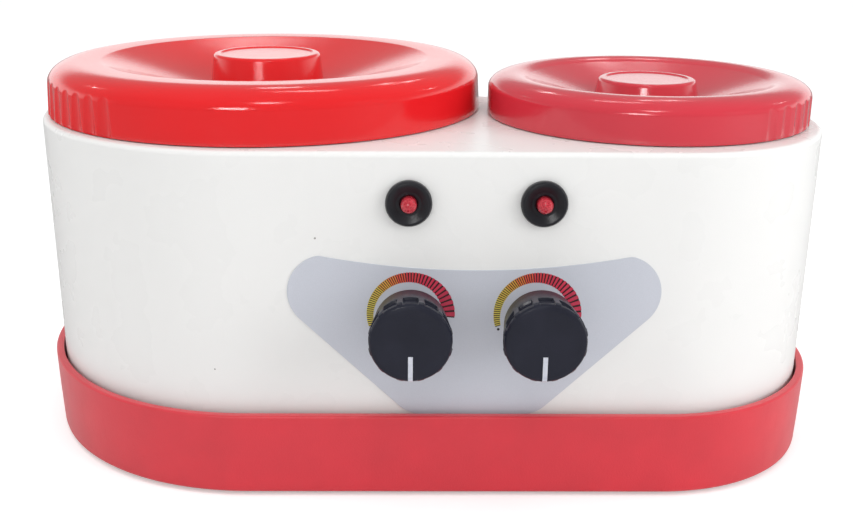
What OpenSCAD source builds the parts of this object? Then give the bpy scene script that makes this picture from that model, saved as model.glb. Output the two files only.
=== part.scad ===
// Double wax warmer: a white two-well body in a red base tray, two lift-out wax pots
// under red lids, two heat dials and two pilot lamps on the flat front.
// Millimetres, +Z up, the front faces -Y, the origin is the centre of the footprint on the table.

/* [Body plan] */
// How far the body stands out round the large pot
large_margin = 14; // [13.5:0.1:18]
// How far the body stands out round the small pot
small_margin = 13.3; // [13.2:0.1:16]
// Gap between the two pots along the length
pot_between = 26.5; // [26:0.5:32]
// How far the small pot sits in front of the large one
small_forward = 19.7; // [17:0.1:22]
// How far the flat front lies in front of the large drum
front_lead = 4; // [3:0.5:9]
// Radius of the hollow between the two drums at the rear
waist_r = 12; // [9:0.5:16]

/* [Shell] */
// Height of the deck above the table
deck_height = 129.8; // [120:0.2:140]
// Thickness of the shell's wall
shell_wall = 2.5; // [2:0.1:3.2]
// Thickness of the deck
deck_thick = 3; // [2.4:0.1:4]

/* [Base tray] */
// How far the rubber feet stand out below the tray
foot_proud = 1.5; // [1:0.1:3]
// Thickness of the tray's floor
tray_floor = 2.5; // [2.2:0.1:3.5]
// Height of the tray's band
band_height = 31.7; // [26:0.1:36]
// Thickness of the band's wall
band_wall = 3; // [2:0.1:4]
// Gap between the band and the shell
band_gap = 2.5; // [1.5:0.1:3]
// Radius of a rubber foot
foot_r = 7; // [5:0.5:9]
// Depth of a foot's socket in the tray's floor
foot_socket = 1.2; // [0.8:0.1:1.4]
// Width of a vent slot in the tray's floor
vent_width = 3; // [2:0.5:4]
// Length of a vent slot
vent_length = 34; // [20:1:40]
// Number of vent slots in each group
vent_count = 6; // [3:1:7]

/* [Pots and wells] */
// Outer radius of the large pot
large_pot_r = 75; // [70:0.5:75.5]
// Outer radius of the small pot
small_pot_r = 52.5; // [48:0.5:53]
// Thickness of a pot's sheet
pot_sheet = 1.2; // [0.8:0.1:1.6]
// How far a pot's rim stands out from its wall
rim_reach = 3.5; // [3:0.1:3.8]
// Thickness of a pot's rim
rim_thick = 1.6; // [1.2:0.1:2]
// Radial gap between a pot and its well
pot_gap = 1; // [0.6:0.1:1.4]
// Lift gap under a pot and its rim
seat_gap = 0.3; // [0.2:0.05:0.5]
// Thickness of a well's sheet
well_sheet = 1.5; // [1:0.1:1.8]
// Width of a well's flange on the deck
flange_width = 5.4; // [5:0.1:5.6]
// Height of a heater band
heater_height = 40; // [25:1:42]
// Height of a heater band's lower edge above its well's floor
heater_lift = 9; // [8:0.5:14]
// Thickness of a heater band
heater_thick = 2.5; // [1.5:0.1:3]
// Thickness of the insulation blanket
blanket_thick = 2.5; // [1.5:0.1:2.8]

/* [Lids] */
// How far the large lid's lower edge lies inside the body's outline
large_lid_inset = 1; // [0.5:0.1:2.5]
// Height of the large lid's crest above the deck
large_lid_height = 20; // [18:0.1:22]
// Height above the deck at which the large lid's wall rounds over
large_shoulder_z = 12.1; // [10:0.1:14]
// Distance from the large lid's lower edge in to its crest
large_crest_in = 12.5; // [10:0.1:15]
// Distance from the large lid's lower edge in to its lip, where the dish begins
large_lip_in = 21.6; // [19:0.1:24]
// How far the large lid's lip lies below its crest
large_lip_drop = 0.4; // [0.2:0.1:1.5]
// How far the small lid's lower edge lies inside the body's outline
small_lid_inset = 2.3; // [0.8:0.1:2.8]
// Height of the small lid's crest above the deck
small_lid_height = 16.1; // [15:0.1:18]
// Height above the deck at which the small lid's wall rounds over
small_shoulder_z = 10.5; // [9:0.1:12]
// Distance from the small lid's lower edge in to its crest
small_crest_in = 10.1; // [8:0.1:12]
// Distance from the small lid's lower edge in to its lip, where the dish begins
small_lip_in = 16.3; // [14:0.1:19]
// How far the small lid's lip lies below its crest
small_lip_drop = 1.7; // [0.2:0.1:2]
// How much each lid narrows in radius for each millimetre of height
lid_draft = 0.04; // [0.01:0.01:0.08]
// Thickness of a lid
lid_wall = 2; // [1.6:0.1:2.4]
// Gap between a lid's lower edge and the deck
lid_gap = 0.3; // [0.2:0.05:0.5]
// Height of the dish's floor above the lid's lower edge
dish_floor_z = 5.6; // [5.2:0.1:6.4]
// Radius of the large lid's grip at its top
large_grip_r = 21.75; // [19:0.25:25]
// Height of the large lid's grip above the deck
large_grip_height = 21.2; // [18:0.1:24]
// Radius of the small lid's grip at its top
small_grip_r = 19.1; // [16:0.1:21]
// Height of the small lid's grip above the deck
small_grip_height = 14.7; // [13:0.1:18]
// How much a grip widens in radius from top to foot
grip_flare = 2; // [1:0.1:3]
// Number of finger flutes on the large lid's outer side
large_flutes = 9; // [5:1:11]
// Number of finger flutes on the small lid's outer side
small_flutes = 7; // [3:1:9]
// Distance between finger flutes along a lid's edge
flute_pitch = 8.4; // [7.6:0.1:10]
// Depth of a finger flute
flute_depth = 1.2; // [0.3:0.05:1.3]
// Radius of a finger flute
flute_r = 6.6; // [5:0.1:7.5]

/* [Front panel] */
// Distance between the two dials
dial_spacing = 45.2; // [44:0.1:48]
// Height of the dials below the deck
dial_drop = 58.6; // [57:0.1:60]
// Distance between the two lamps
lamp_spacing = 46.8; // [40:0.1:52]
// Height of the lamps below the deck
lamp_drop = 17.7; // [16:0.1:22]
// How far the panel's centre line lies to the right of the middle between the pots
panel_shift = 5.5; // [3:0.1:7]
// Thickness of the panel overlay
overlay_thick = 0.4; // [0.3:0.05:0.8]
// Half width of the panel overlay
overlay_half = 66.4; // [62:0.2:68]
// Height of the overlay
overlay_height = 61.4; // [58:0.2:64]
// Sag of the overlay's upper edge
overlay_sag = 5.5; // [3:0.1:8]

/* [Dials] */
// Largest radius of a dial
dial_r = 14.4; // [13:0.1:16]
// Radius of a dial at its back edge
dial_back_r = 12.7; // [12:0.1:13.5]
// Distance from the shell's front to a dial's face
dial_reach = 28.4; // [27:0.1:32]
// Length of a dial's fluted drum
dial_length = 18.6; // [16:0.1:19]
// Radius of the shaft
shaft_r = 3; // [2.5:0.1:3.4]
// Radial running clearance of the shaft in its bush
shaft_clearance = 0.05; // [0.02:0.01:0.1]
// Number of flutes round a dial
dial_flutes = 12; // [8:1:14]
// Depth of a dial's flute
dial_flute_depth = 1; // [0.5:0.1:1.3]
// Width of a dial's pointer line
pointer_width = 1.6; // [1:0.1:2.4]
// Radius at which the pointer line begins
pointer_start = 4.6; // [4:0.1:8]

/* [Lamps] */
// Radius of a lamp's bezel
bezel_r = 8.15; // [7.2:0.05:9]
// Thickness of a lamp's bezel
bezel_thick = 2.8; // [2.4:0.1:3.5]
// Radius of a lamp's barrel
barrel_r = 5; // [4.6:0.1:5.6]
// Length of a lamp's barrel behind the wall
barrel_length = 16; // [14:0.5:18]
// Radius of a lamp's lens
lens_r = 2.85; // [2.4:0.05:3.2]
// How far a lens stands out from the shell
lens_reach = 6.2; // [5:0.1:7.5]

/* [Thermostats and wiring] */
// Radius of a thermostat's case
case_r = 15; // [13:0.25:15.5]
// Depth of a thermostat's case
case_depth = 18; // [15:0.5:19]
// Radius of a thermostat's threaded bush
bush_r = 4.9; // [4.5:0.1:5.4]
// How far the bush stands out of the shell
bush_reach = 5.2; // [4.6:0.1:5.6]
// Size across the flats of the panel nut
panel_nut_af = 13; // [12:0.5:14]
// Thickness of the panel nut
panel_nut_thick = 2.6; // [2:0.1:3.2]
// Radius of an insulated lead
lead_r = 1.2; // [0.9:0.1:1.4]
// Radius of a sensor bulb
bulb_r = 3; // [2.5:0.1:3.5]
// Length of a sensor bulb
bulb_length = 50; // [40:1:56]
// Radius of a thermostat's capillary tube
capillary_r = 0.8; // [0.6:0.1:1]

/* [Cord bushing] */
// Radius of the cord's passage
cord_r = 3.6; // [3:0.1:4]
// Radius of the bushing's barrel
bushing_r = 6; // [5.6:0.1:6.5]
// Height of the bushing's centre above the band
bushing_lift = 10.8; // [9:0.1:14]
// Height of the heater bands above the bushing's centre
heater_rise = 13.9; // [13.5:0.1:20]
// Length of the strain relief behind the flange
relief_length = 14; // [8:0.5:20]

/* [Screws] */
// Radius of a tray screw's shank
tray_screw_r = 1.5; // [1.3:0.1:1.8]
// Radius of a tray screw's head
tray_head_r = 3.2; // [2.8:0.1:3.4]
// Radius of a shell boss
boss_r = 4; // [3.6:0.1:4.4]
// Height of the top of the shell's bosses above the table
boss_top = 40; // [34:1:42]
// Radius of a well screw's shank
well_screw_r = 1.2; // [1:0.1:1.3]

/* [Hidden] */
$fn = 96;
tiny = 0.01;
bore_gap = 0.1;

// The body and the lids follow the pots
large_body_r = large_pot_r + large_margin;
small_body_r = small_pot_r + small_margin;
pot_spacing = large_pot_r + small_pot_r + pot_between;
front_reach = large_body_r + front_lead;
large_lid_r = large_body_r - large_lid_inset;
small_lid_r = small_body_r - small_lid_inset;

// The footprint is centred on the origin
band_out = band_gap + band_wall;
bushing_flange = 3;
bushing_pad = 1;
rear_reach = large_body_r + bushing_pad + bushing_flange + relief_length;
large_x = -(pot_spacing + small_body_r - large_body_r) / 2;
large_y = (front_reach + dial_reach - rear_reach) / 2;
large_at = [large_x, large_y];
small_at = [large_x + pot_spacing, large_y - small_forward];
front_y = large_y - front_reach;
panel_at = large_x + pot_spacing / 2 + panel_shift;

// Heights
floor_z = foot_proud;
floor_top = floor_z + tray_floor;
band_top = floor_z + band_height;
flange_top = deck_height + well_sheet;
rim_z = flange_top + seat_gap;
pot_top = rim_z + rim_thick;
// The wells hang down to just above the cord bushing, and the pots fill them
bushing_z = band_top + bushing_lift;
heater_z = bushing_z + heater_rise;
well_floor_top = heater_z - heater_lift;
well_floor = well_floor_top - well_sheet;
pot_floor = well_floor_top + seat_gap;
pot_height = pot_top - pot_floor;
lid_z = deck_height + lid_gap;
dial_z = deck_height - dial_drop;
lamp_z = deck_height - lamp_drop;

// Radii that follow from the pots
function well_r(pot_r) = pot_r + pot_gap;
function well_out(pot_r) = well_r(pot_r) + well_sheet;
function heater_out(pot_r) = well_out(pot_r) + heater_thick;
function blanket_out(pot_r) = heater_out(pot_r) + blanket_thick;
function flange_out(pot_r) = well_out(pot_r) + flange_width;

// Places round a circle
function spot(centre, r, angle) = [centre[0] + r * cos(angle), centre[1] + r * sin(angle)];

// Tray screws: [x, y, direction of the rib to the wall]
boss_inset = shell_wall + 7;
pad_r = tray_head_r + 2.2;
pad_top = floor_top + 2.4;
function large_boss(angle) = concat(spot(large_at, large_body_r - boss_inset, angle), [angle]);
function small_boss(angle) = concat(spot(small_at, small_body_r - boss_inset, angle), [angle]);
bosses = [large_boss(125), large_boss(55), large_boss(195), small_boss(75), small_boss(5),
    [large_x, front_y + boss_inset, -90], [large_x + pot_spacing, front_y + boss_inset, -90]];
feet = [spot(large_at, large_body_r - 22, 110), spot(large_at, large_body_r - 22, 240),
    spot(small_at, small_body_r - 20, 50), spot(small_at, small_body_r - 24, -60)];

// Outline of the body in plan, grown outwards by g
module plan(g = 0) {
    ra = large_body_r + g;
    rb = small_body_r + g;
    rw = waist_r - g;
    span = sqrt(pot_spacing * pot_spacing + small_forward * small_forward);
    da = ra + rw;
    db = rb + rw;
    along = (da * da - db * db + span * span) / (2 * span);
    across = sqrt(da * da - along * along);
    ux = pot_spacing / span;
    uy = -small_forward / span;
    waist = [large_x + along * ux - across * uy, large_y + along * uy + across * ux];
    large_front = [large_x, large_y - (front_reach - large_body_r)];
    small_front = [large_x + pot_spacing, large_y - (front_reach - small_body_r)];
    translate(large_at) circle(r = ra);
    translate(small_at) circle(r = rb);
    translate(large_front) circle(r = ra);
    translate(small_front) circle(r = rb);
    // The sides run straight between each drum and its front corner
    translate([large_x - ra, large_front[1]]) square([2 * ra, large_y - large_front[1]]);
    translate([small_front[0] - rb, small_front[1]]) square([2 * rb, small_at[1] - small_front[1]]);
    // The flat front
    translate([large_x, front_y - g]) square([pot_spacing, front_reach - small_forward]);
    // The rear hollow runs a hair into both drums, so that its ends are clean crossings
    difference() {
        polygon([large_at, waist, small_at]);
        translate(waist) circle(r = rw + 0.01);
    }
}

// A tube or disc at a pot's centre
module ring(at, outer, inner, z, height) {
    translate([at[0], at[1], z]) difference() {
        cylinder(r = outer, h = height);
        translate([0, 0, -1]) cylinder(r = inner, h = height + 2);
    }
}

// Turns a shape's +Z to face the front, at a point on the shell's front face
module on_front(x, z) {
    translate([x, front_y, z]) rotate([90, 0, 0]) children();
}

module at_dials(side) {
    on_front(panel_at + side * dial_spacing / 2, dial_z) children();
}

module at_lamps(side) {
    on_front(panel_at + side * lamp_spacing / 2, lamp_z) children();
}

// Turns a shape's +Z to the rear, at the flat pad on the large drum's back
module at_bushing() {
    translate([large_x, large_y + large_body_r + bushing_pad, bushing_z]) rotate([-90, 0, 0]) children();
}

module at_well_screws(at, pot_r) {
    for (i = [0:2])
        translate(concat(spot(at, flange_out(pot_r) - 2.2, 90 + 120 * i), [0])) children();
}

// White moulded shell, open below, with the deck's two wells
module shell() {
    color("white") difference() {
        union() {
            difference() {
                translate([0, 0, floor_top]) linear_extrude(deck_height - floor_top) plan();
                translate([0, 0, floor_top - 1])
                    linear_extrude(deck_height - floor_top - deck_thick + 1) plan(-shell_wall);
            }
            for (b = bosses) {
                translate([b[0], b[1], pad_top]) cylinder(r = boss_r, h = boss_top - pad_top);
                translate([b[0], b[1], pad_top]) rotate([0, 0, b[2]]) translate([boss_r - 1, -1, 0])
                    cube([boss_inset - shell_wall - boss_r + 2.5, 2, boss_top - pad_top]);
            }
            // Flat pad for the cord bushing, inside and out
            at_bushing() translate([0, 0, -bushing_pad - shell_wall - 2])
                cylinder(r = bushing_r + 3.5, h = bushing_pad + shell_wall + 2);
        }
        for (p = [[large_at, large_pot_r], [small_at, small_pot_r]]) {
            translate([p[0][0], p[0][1], deck_height - deck_thick - 1])
                cylinder(r = well_out(p[1]) + 0.5, h = deck_thick + 2);
            at_well_screws(p[0], p[1]) translate([0, 0, deck_height - deck_thick - 1])
                cylinder(r = well_screw_r + 0.05, h = deck_thick + 2, $fn = 24);
        }
        for (side = [-1, 1]) {
            at_dials(side) translate([0, 0, -shell_wall - 1])
                cylinder(r = bush_r + bore_gap, h = shell_wall + 2);
            at_lamps(side) translate([0, 0, -shell_wall - 1])
                cylinder(r = barrel_r + bore_gap, h = shell_wall + 2);
        }
        at_bushing() translate([0, 0, -12]) cylinder(r = bushing_r + bore_gap, h = 14);
        for (b = bosses) translate([b[0], b[1], pad_top - 1])
            cylinder(r = tray_screw_r + 0.05, h = 20, $fn = 32);
    }
}

// Red tray: a floor and the band round the foot of the shell
module base_tray() {
    color("crimson") difference() {
        union() {
            difference() {
                translate([0, 0, floor_z]) linear_extrude(band_height) plan(band_out);
                translate([0, 0, floor_top]) linear_extrude(band_height) plan(band_gap);
            }
            for (b = bosses) translate([b[0], b[1], floor_z]) cylinder(r = pad_r, h = pad_top - floor_z);
        }
        for (b = bosses) translate([b[0], b[1], floor_z - 1]) {
            cylinder(r = tray_head_r + 0.2, h = 3.4);
            cylinder(r = tray_screw_r + 0.3, h = 20, $fn = 32);
        }
        for (f = feet) translate([f[0], f[1], floor_z - 1]) cylinder(r = foot_r + 0.05, h = foot_socket + 1);
        for (p = [large_at, small_at], i = [0:vent_count - 1])
            translate([p[0] + (i - (vent_count - 1) / 2) * 3 * vent_width - vent_width / 2,
                p[1] - vent_length / 2, floor_z - 1]) cube([vent_width, vent_length, tray_floor + 2]);
    }
}

module rubber_feet() {
    color("dimgray") for (f = feet) translate([f[0], f[1], 0]) {
        cylinder(r1 = foot_r - 0.8, r2 = foot_r, h = foot_proud);
        translate([0, 0, foot_proud - tiny]) cylinder(r = foot_r, h = foot_socket + tiny);
    }
}

module tray_screws() {
    color("silver") for (b = bosses) translate([b[0], b[1], floor_z + 0.4]) difference() {
        union() {
            cylinder(r = tray_head_r, h = 2, $fn = 48);
            cylinder(r = tray_screw_r, h = 16, $fn = 32);
        }
        for (turn = [0, 90]) rotate([0, 0, turn]) translate([-2, -0.4, -1]) cube([4, 0.8, 1.9]);
    }
}

// Outline of the overlay, its centre line at x = 0 and the deck at y = 0
overlay_top = -36.6;
overlay_corner = 14;
overlay_foot = 12;
module overlay_outline() {
    foot_half = overlay_half * 0.276;
    sag_r = (pow(overlay_half - 9.4, 2) + pow(overlay_sag, 2)) / (2 * overlay_sag);
    difference() {
        hull() for (side = [-1, 1]) {
            translate([side * (overlay_half - overlay_corner), overlay_top - overlay_corner])
                circle(r = overlay_corner);
            translate([side * foot_half, overlay_top - overlay_height + overlay_foot])
                circle(r = overlay_foot);
        }
        translate([0, overlay_top - overlay_sag + sag_r]) circle(r = sag_r, $fn = 360);
    }
}

module control_overlay() {
    color("lightsteelblue") difference() {
        on_front(panel_at, deck_height) linear_extrude(overlay_thick) overlay_outline();
        for (side = [-1, 1]) at_dials(side) translate([0, 0, -1]) cylinder(r = bush_r + 0.4, h = 3);
    }
}

// Pilot lamp: black bezel with a raised rim, spring nut behind the wall
module lamp_bezel(side) {
    rim = bezel_r - 1.3;
    face = bezel_thick - 0.6;
    color("black") at_lamps(side) rotate_extrude() polygon([[lens_r + 0.05, -barrel_length],
        [barrel_r, -barrel_length], [barrel_r, 0], [bezel_r, 0], [bezel_r, bezel_thick - 0.7],
        [bezel_r - 0.5, bezel_thick], [rim, bezel_thick], [rim - 0.5, face],
        [lens_r + 0.05, face - 0.5]]);
}

module lamp_lens(side) {
    foot = 4;
    color("red") at_lamps(side) {
        translate([0, 0, -foot]) cylinder(r = lens_r, h = foot + lens_reach - lens_r);
        translate([0, 0, lens_reach - lens_r]) sphere(r = lens_r, $fn = 48);
    }
}

module neon_bulb(side) {
    color("orange") at_lamps(side) {
        translate([0, 0, -13]) cylinder(r = 2, h = 6.5, $fn = 48);
        translate([0, 0, -6.5]) sphere(r = 2, $fn = 48);
        for (x = [-0.8, 0.8]) translate([x, 0, -barrel_length]) cylinder(r = 0.3, h = 3.5, $fn = 16);
    }
}

module lamp_nuts() {
    color("silver") for (side = [-1, 1]) at_lamps(side) translate([0, 0, -shell_wall - 1.2]) difference() {
        cylinder(r = barrel_r + 2.6, h = 1.2);
        translate([0, 0, -1]) cylinder(r = barrel_r + 0.05, h = 4);
        for (turn = [0:45:315]) rotate([0, 0, turn]) translate([barrel_r - 0.5, -0.5, -1]) cube([1.6, 1, 4]);
    }
}

// Thermostat: case, threaded bush through the wall, blade terminals on its back
module thermostat(side) {
    color("ivory") at_dials(side) difference() {
        union() {
            translate([0, 0, -shell_wall - case_depth]) cylinder(r = case_r, h = case_depth);
            translate([0, 0, -shell_wall - tiny]) cylinder(r = bush_r, h = shell_wall + bush_reach + tiny);
            for (x = [-6, 6]) translate([x - 3, -0.4 + side * 3, -shell_wall - case_depth - 7])
                cube([6, 0.8, 7 + tiny]);
        }
        translate([0, 0, -shell_wall - case_depth + 2])
            cylinder(r = shaft_r + shaft_clearance, h = case_depth + shell_wall + bush_reach);
    }
}

module panel_nuts() {
    color("silver") for (side = [-1, 1]) at_dials(side) translate([0, 0, overlay_thick]) difference() {
        cylinder(r = panel_nut_af / 2 / cos(30), h = panel_nut_thick, $fn = 6);
        translate([0, 0, -1]) cylinder(r = bush_r, h = panel_nut_thick + 2);
    }
}

// Turns a shape's +Z along a direction
module along(way) {
    rotate([0, acos(way[2] / norm(way)), atan2(way[1], way[0])]) children();
}

// A round tube through hand-set points, with slightly fuller ball joints at its bends.
// Each ball's poles lie inside the two runs that it joins
module tube(points, r) {
    for (i = [0:len(points) - 2]) {
        step = points[i + 1] - points[i];
        last = points[i] - points[max(i - 1, 0)];
        translate(points[i]) along(step) cylinder(r = r, h = norm(step), $fn = 20);
        if (i > 0) translate(points[i]) along(step / norm(step) + last / norm(last))
            sphere(r = r * 1.3, $fn = 20);
    }
}

// Sensor bulb clipped under the well's floor, and its capillary up to the thermostat
module sensor_bulb(side, at, turn) {
    bulb_z = well_floor - bulb_r;
    case_back = front_y + shell_wall + case_depth;
    case_x = panel_at + side * dial_spacing / 2;
    tip = [at[0] + bulb_length / 2 * cos(turn), at[1] + bulb_length / 2 * sin(turn), bulb_z];
    color("peru") {
        translate([at[0], at[1], bulb_z]) rotate([0, 90, turn]) translate([0, 0, -bulb_length / 2])
            cylinder(r = bulb_r, h = bulb_length, $fn = 40);
        tube([tip, tip + [0, -6, -8], [case_x, case_back + 14, bulb_z - 8],
            [case_x, case_back + 5, dial_z - 10], [case_x, case_back, dial_z - 10]], capillary_r);
    }
}

// Spun aluminium well that hangs by its flange in the deck
module heater_well(at, pot_r) {
    inner = well_r(pot_r);
    outer = well_out(pot_r);
    color("silver") difference() {
        translate([at[0], at[1], 0]) rotate_extrude() polygon([[0, well_floor], [outer, well_floor],
            [outer, deck_height], [flange_out(pot_r), deck_height], [flange_out(pot_r), flange_top],
            [inner, flange_top], [inner, well_floor_top], [0, well_floor_top]]);
        at_well_screws(at, pot_r) translate([0, 0, deck_height - 1])
            cylinder(r = well_screw_r + 0.2, h = 4, $fn = 24);
    }
}

module well_screws() {
    color("gainsboro") for (p = [[large_at, large_pot_r], [small_at, small_pot_r]])
        at_well_screws(p[0], p[1]) {
            translate([0, 0, flange_top]) cylinder(r = 1.9, h = 1.3, $fn = 32);
            translate([0, 0, flange_top - 6]) cylinder(r = well_screw_r, h = 6 + tiny, $fn = 24);
        }
}

// Split heater band clamped round the well, with two lugs at the split
split_angle = 6;
lug_reach = 6;
module heater_band(at, pot_r, turn) {
    inner = well_out(pot_r);
    outer = heater_out(pot_r);
    clamp_z = heater_height / 2;
    color("goldenrod") translate([at[0], at[1], heater_z]) rotate([0, 0, turn]) difference() {
        union() {
            rotate([0, 0, split_angle / 2]) rotate_extrude(angle = 360 - split_angle)
                translate([inner, 0]) square([heater_thick, heater_height]);
            for (side = [-1, 1]) rotate([0, 0, side * (split_angle / 2 + 0.6)])
                translate([inner + 0.5, -0.8, clamp_z - 6]) cube([heater_thick + lug_reach, 1.6, 12]);
            for (side = [-1, 1]) rotate([0, 0, side * 15]) translate([outer - 0.6, -0.4, clamp_z - 3])
                cube([lug_reach, 0.8, 6]);
        }
        translate([outer + 3.2, 0, clamp_z]) rotate([90, 0, 0]) cylinder(r = 1.6, h = 40, center = true, $fn = 32);
    }
}

module heater_clamp_screws() {
    color("gainsboro") for (p = [[large_at, large_pot_r, large_split], [small_at, small_pot_r, small_split]]) {
        outer = heater_out(p[1]);
        lug = (outer + 3.2) * sin(split_angle / 2 + 0.6) + 1.1;
        translate([p[0][0], p[0][1], heater_z + heater_height / 2]) rotate([0, 0, p[2]])
            translate([outer + 3.2, 0, 0]) rotate([90, 0, 0]) {
                cylinder(r = 1.45, h = 2 * lug + 2, center = true, $fn = 32);
                for (side = [-1, 1]) translate([0, 0, side * (lug + 1)])
                    cylinder(r = 2.6, h = 2, center = true, $fn = 6);
            }
    }
}

// Glass-felt blanket round the heater, cut away where the lugs stand
blanket_cut = 44;
module insulation(at, pot_r, turn) {
    color("wheat") translate([at[0], at[1], heater_z - 2]) rotate([0, 0, turn + blanket_cut / 2])
        rotate_extrude(angle = 360 - blanket_cut)
            translate([heater_out(pot_r) + bore_gap, 0]) square([blanket_thick, heater_height + 4]);
}

// Thermal fuse strapped to each well just under its heater
module thermal_fuses() {
    fuse_r = 2;
    fuse_z = well_floor + 4;
    color("white") for (p = [[large_at, large_pot_r, large_split], [small_at, small_pot_r, small_split]])
        translate([p[0][0], p[0][1], fuse_z]) rotate([0, 0, p[2] - 25])
            translate([well_out(p[1]) + fuse_r, -8, 0]) rotate([-90, 0, 0]) {
                cylinder(r = fuse_r, h = 16, $fn = 40);
                translate([0, 0, -3]) cylinder(r = 0.5, h = 22, $fn = 16);
            }
}

// Three-way terminal block on the tray's floor, under the space between the wells
block_size = [32, 20, 14];
block_at = [panel_at - 16, front_y + 34, floor_top];
function way(i) = block_at[0] + 6 + 10 * i;
module terminal_block() {
    color("whitesmoke") difference() {
        translate(block_at) cube(block_size);
        for (i = [0:2]) {
            translate([way(i), block_at[1] - 1, block_at[2] + 5]) rotate([-90, 0, 0])
                cylinder(r = 2, h = block_size[1] + 2, $fn = 32);
            for (y = [5, 15]) translate([way(i), block_at[1] + y, block_at[2] + 5])
                cylinder(r = 2.1, h = block_size[2], $fn = 32);
        }
    }
}

module terminal_screws() {
    color("goldenrod") for (i = [0:2], y = [5, 15]) translate([way(i), block_at[1] + y, block_at[2] + 6.6])
        difference() {
            cylinder(r = 2, h = 5.4, $fn = 32);
            translate([-3, -0.3, 4.6]) cube([6, 0.6, 2]);
        }
}

// Cord bushing: flange, barrel through the wall and ribbed strain relief
module cord_bushing() {
    ribs = 4;
    barrel = 11;
    pitch = relief_length / (ribs + 1);
    color("black") at_bushing() difference() {
        union() {
            translate([0, 0, -barrel]) cylinder(r = bushing_r, h = barrel + tiny);
            cylinder(r = bushing_r + 2, h = bushing_flange);
            translate([0, 0, bushing_flange - tiny])
                cylinder(r1 = cord_r + 1.5, r2 = cord_r + 0.9, h = relief_length + tiny);
            for (i = [0:ribs - 1]) translate([0, 0, bushing_flange + pitch * (i + 0.7)])
                cylinder(r = cord_r + 1.9 - 0.15 * i, h = pitch / 2);
        }
        translate([0, 0, -barrel - 1]) cylinder(r = cord_r, h = barrel + bushing_flange + relief_length + 2);
    }
}

module cord_bushing_nut() {
    color("black") at_bushing() translate([0, 0, -bushing_pad - shell_wall - 2 - 3.4]) difference() {
        cylinder(r = bushing_r + 3.2, h = 3.4, $fn = 6);
        translate([0, 0, -1]) cylinder(r = bushing_r, h = 6);
    }
}

// Mains leads from the bushing to the block, and from the block to each thermostat and heater
module wiring() {
    low = floor_top + 5;
    back = block_at[1] + block_size[1];
    inlet = [large_x, large_y + large_body_r - 11.2, bushing_z];
    tab_y = front_y + shell_wall + case_depth + 4;
    color("firebrick") {
        for (i = [0:1]) {
            x = (i - 0.5) * 4 * lead_r;
            run_z = low + 4 + 5 * i;
            tube([inlet + [x, 0, 0], [inlet[0] + x, inlet[1] - 14, run_z],
                [way(i), back + 12, run_z], [way(i), back + 4, low], [way(i), back - 5, low]], lead_r);
        }
        for (side = [-1, 1]) {
            x = panel_at + side * (dial_spacing / 2 + 6);
            i = side < 0 ? 0 : 2;
            tube([[way(i), block_at[1] + 5, low], [way(i), block_at[1] - 4, low],
                [x, block_at[1] - 8, low + 10], [x, tab_y, dial_z + side * 3 - 6],
                [x, tab_y, dial_z + side * 3 - 0.4]], lead_r);
        }
    }
}

// Lift-out wax pot with a rolled rim that rests over the well's flange
module pot(at, pot_r) {
    inner = pot_r - pot_sheet;
    corner = 6;
    inner_corner = corner - pot_sheet;
    color("gainsboro") translate([at[0], at[1], 0]) rotate_extrude() difference() {
        union() {
            translate([0, pot_floor]) square([pot_r - corner, pot_sheet * 2]);
            translate([0, pot_floor + corner]) square([pot_r, pot_height - corner]);
            intersection() {
                translate([pot_r - corner, pot_floor + corner]) circle(r = corner);
                translate([0, pot_floor]) square([pot_r, corner]);
            }
            translate([0, pot_floor]) square([pot_r - corner, corner]);
            translate([0, rim_z]) square([pot_r + rim_reach, rim_thick]);
        }
        translate([0, pot_floor + corner]) square([inner, pot_height]);
        translate([0, pot_floor + pot_sheet]) square([inner - inner_corner, corner]);
        intersection() {
            translate([inner - inner_corner, pot_floor + pot_sheet + inner_corner]) circle(r = inner_corner);
            translate([0, pot_floor + pot_sheet]) square([inner, inner_corner + tiny]);
        }
    }
}

// One skin of a lid from its lower edge over the shoulder, crest and lip to the foot of its grip,
// moved in by a thickness
shoulder_step = 15;
function lid_skin(in, lid_r, wall_r, shoulder, crest_r, top, lip_r, lip_drop, foot_r) = concat(
    [[lid_r - in, 0]],
    [for (a = [0:shoulder_step:90])
        [crest_r + (wall_r - in - crest_r) * cos(a), shoulder + (top - in - shoulder) * sin(a)]],
    [[(crest_r + lip_r) / 2, top - in - lip_drop / 4], [lip_r, top - in - lip_drop],
        [foot_r - (in > 0 ? in : 0), dish_floor_z - in]]);
function backwards(list) = [for (i = [len(list) - 1:-1:0]) list[i]];

// Lid: skirt, broad rounded shoulder, sloping dish and a hollow grip, with finger flutes on its outer side.
// Each flute runs out where the shoulder curves away from it
module lid(at, lid_r, height, shoulder_z, crest_in, lip_in, lip_drop, grip_r, grip_height, flutes, outward) {
    crest_r = lid_r - crest_in;
    lip_r = lid_r - lip_in;
    step = flute_pitch / lid_r * 180 / PI;
    top = height - lid_gap;
    shoulder = shoulder_z - lid_gap;
    wall_r = lid_r - lid_draft * shoulder;
    grip_top = grip_height - lid_gap;
    foot_r = grip_r + grip_flare;
    outer = lid_skin(0, lid_r, wall_r, shoulder, crest_r, top, lip_r, lip_drop, foot_r);
    inner = lid_skin(lid_wall, lid_r, wall_r, shoulder, crest_r, top, lip_r, lip_drop, foot_r);
    color("red") translate([at[0], at[1], lid_z]) difference() {
        rotate_extrude() polygon(concat(outer,
            [[grip_r, grip_top - 0.8], [grip_r - 0.8, grip_top], [0, grip_top],
                [0, grip_top - lid_wall], [grip_r - lid_wall - 0.4, grip_top - lid_wall]],
            backwards(inner)));
        for (i = [0:flutes - 1])
            rotate([0, 0, outward + (i - (flutes - 1) / 2) * step])
                translate([lid_r + flute_r - flute_depth, 0, -1])
                    cylinder(r = flute_r, h = height, $fn = 60);
    }
}

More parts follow.
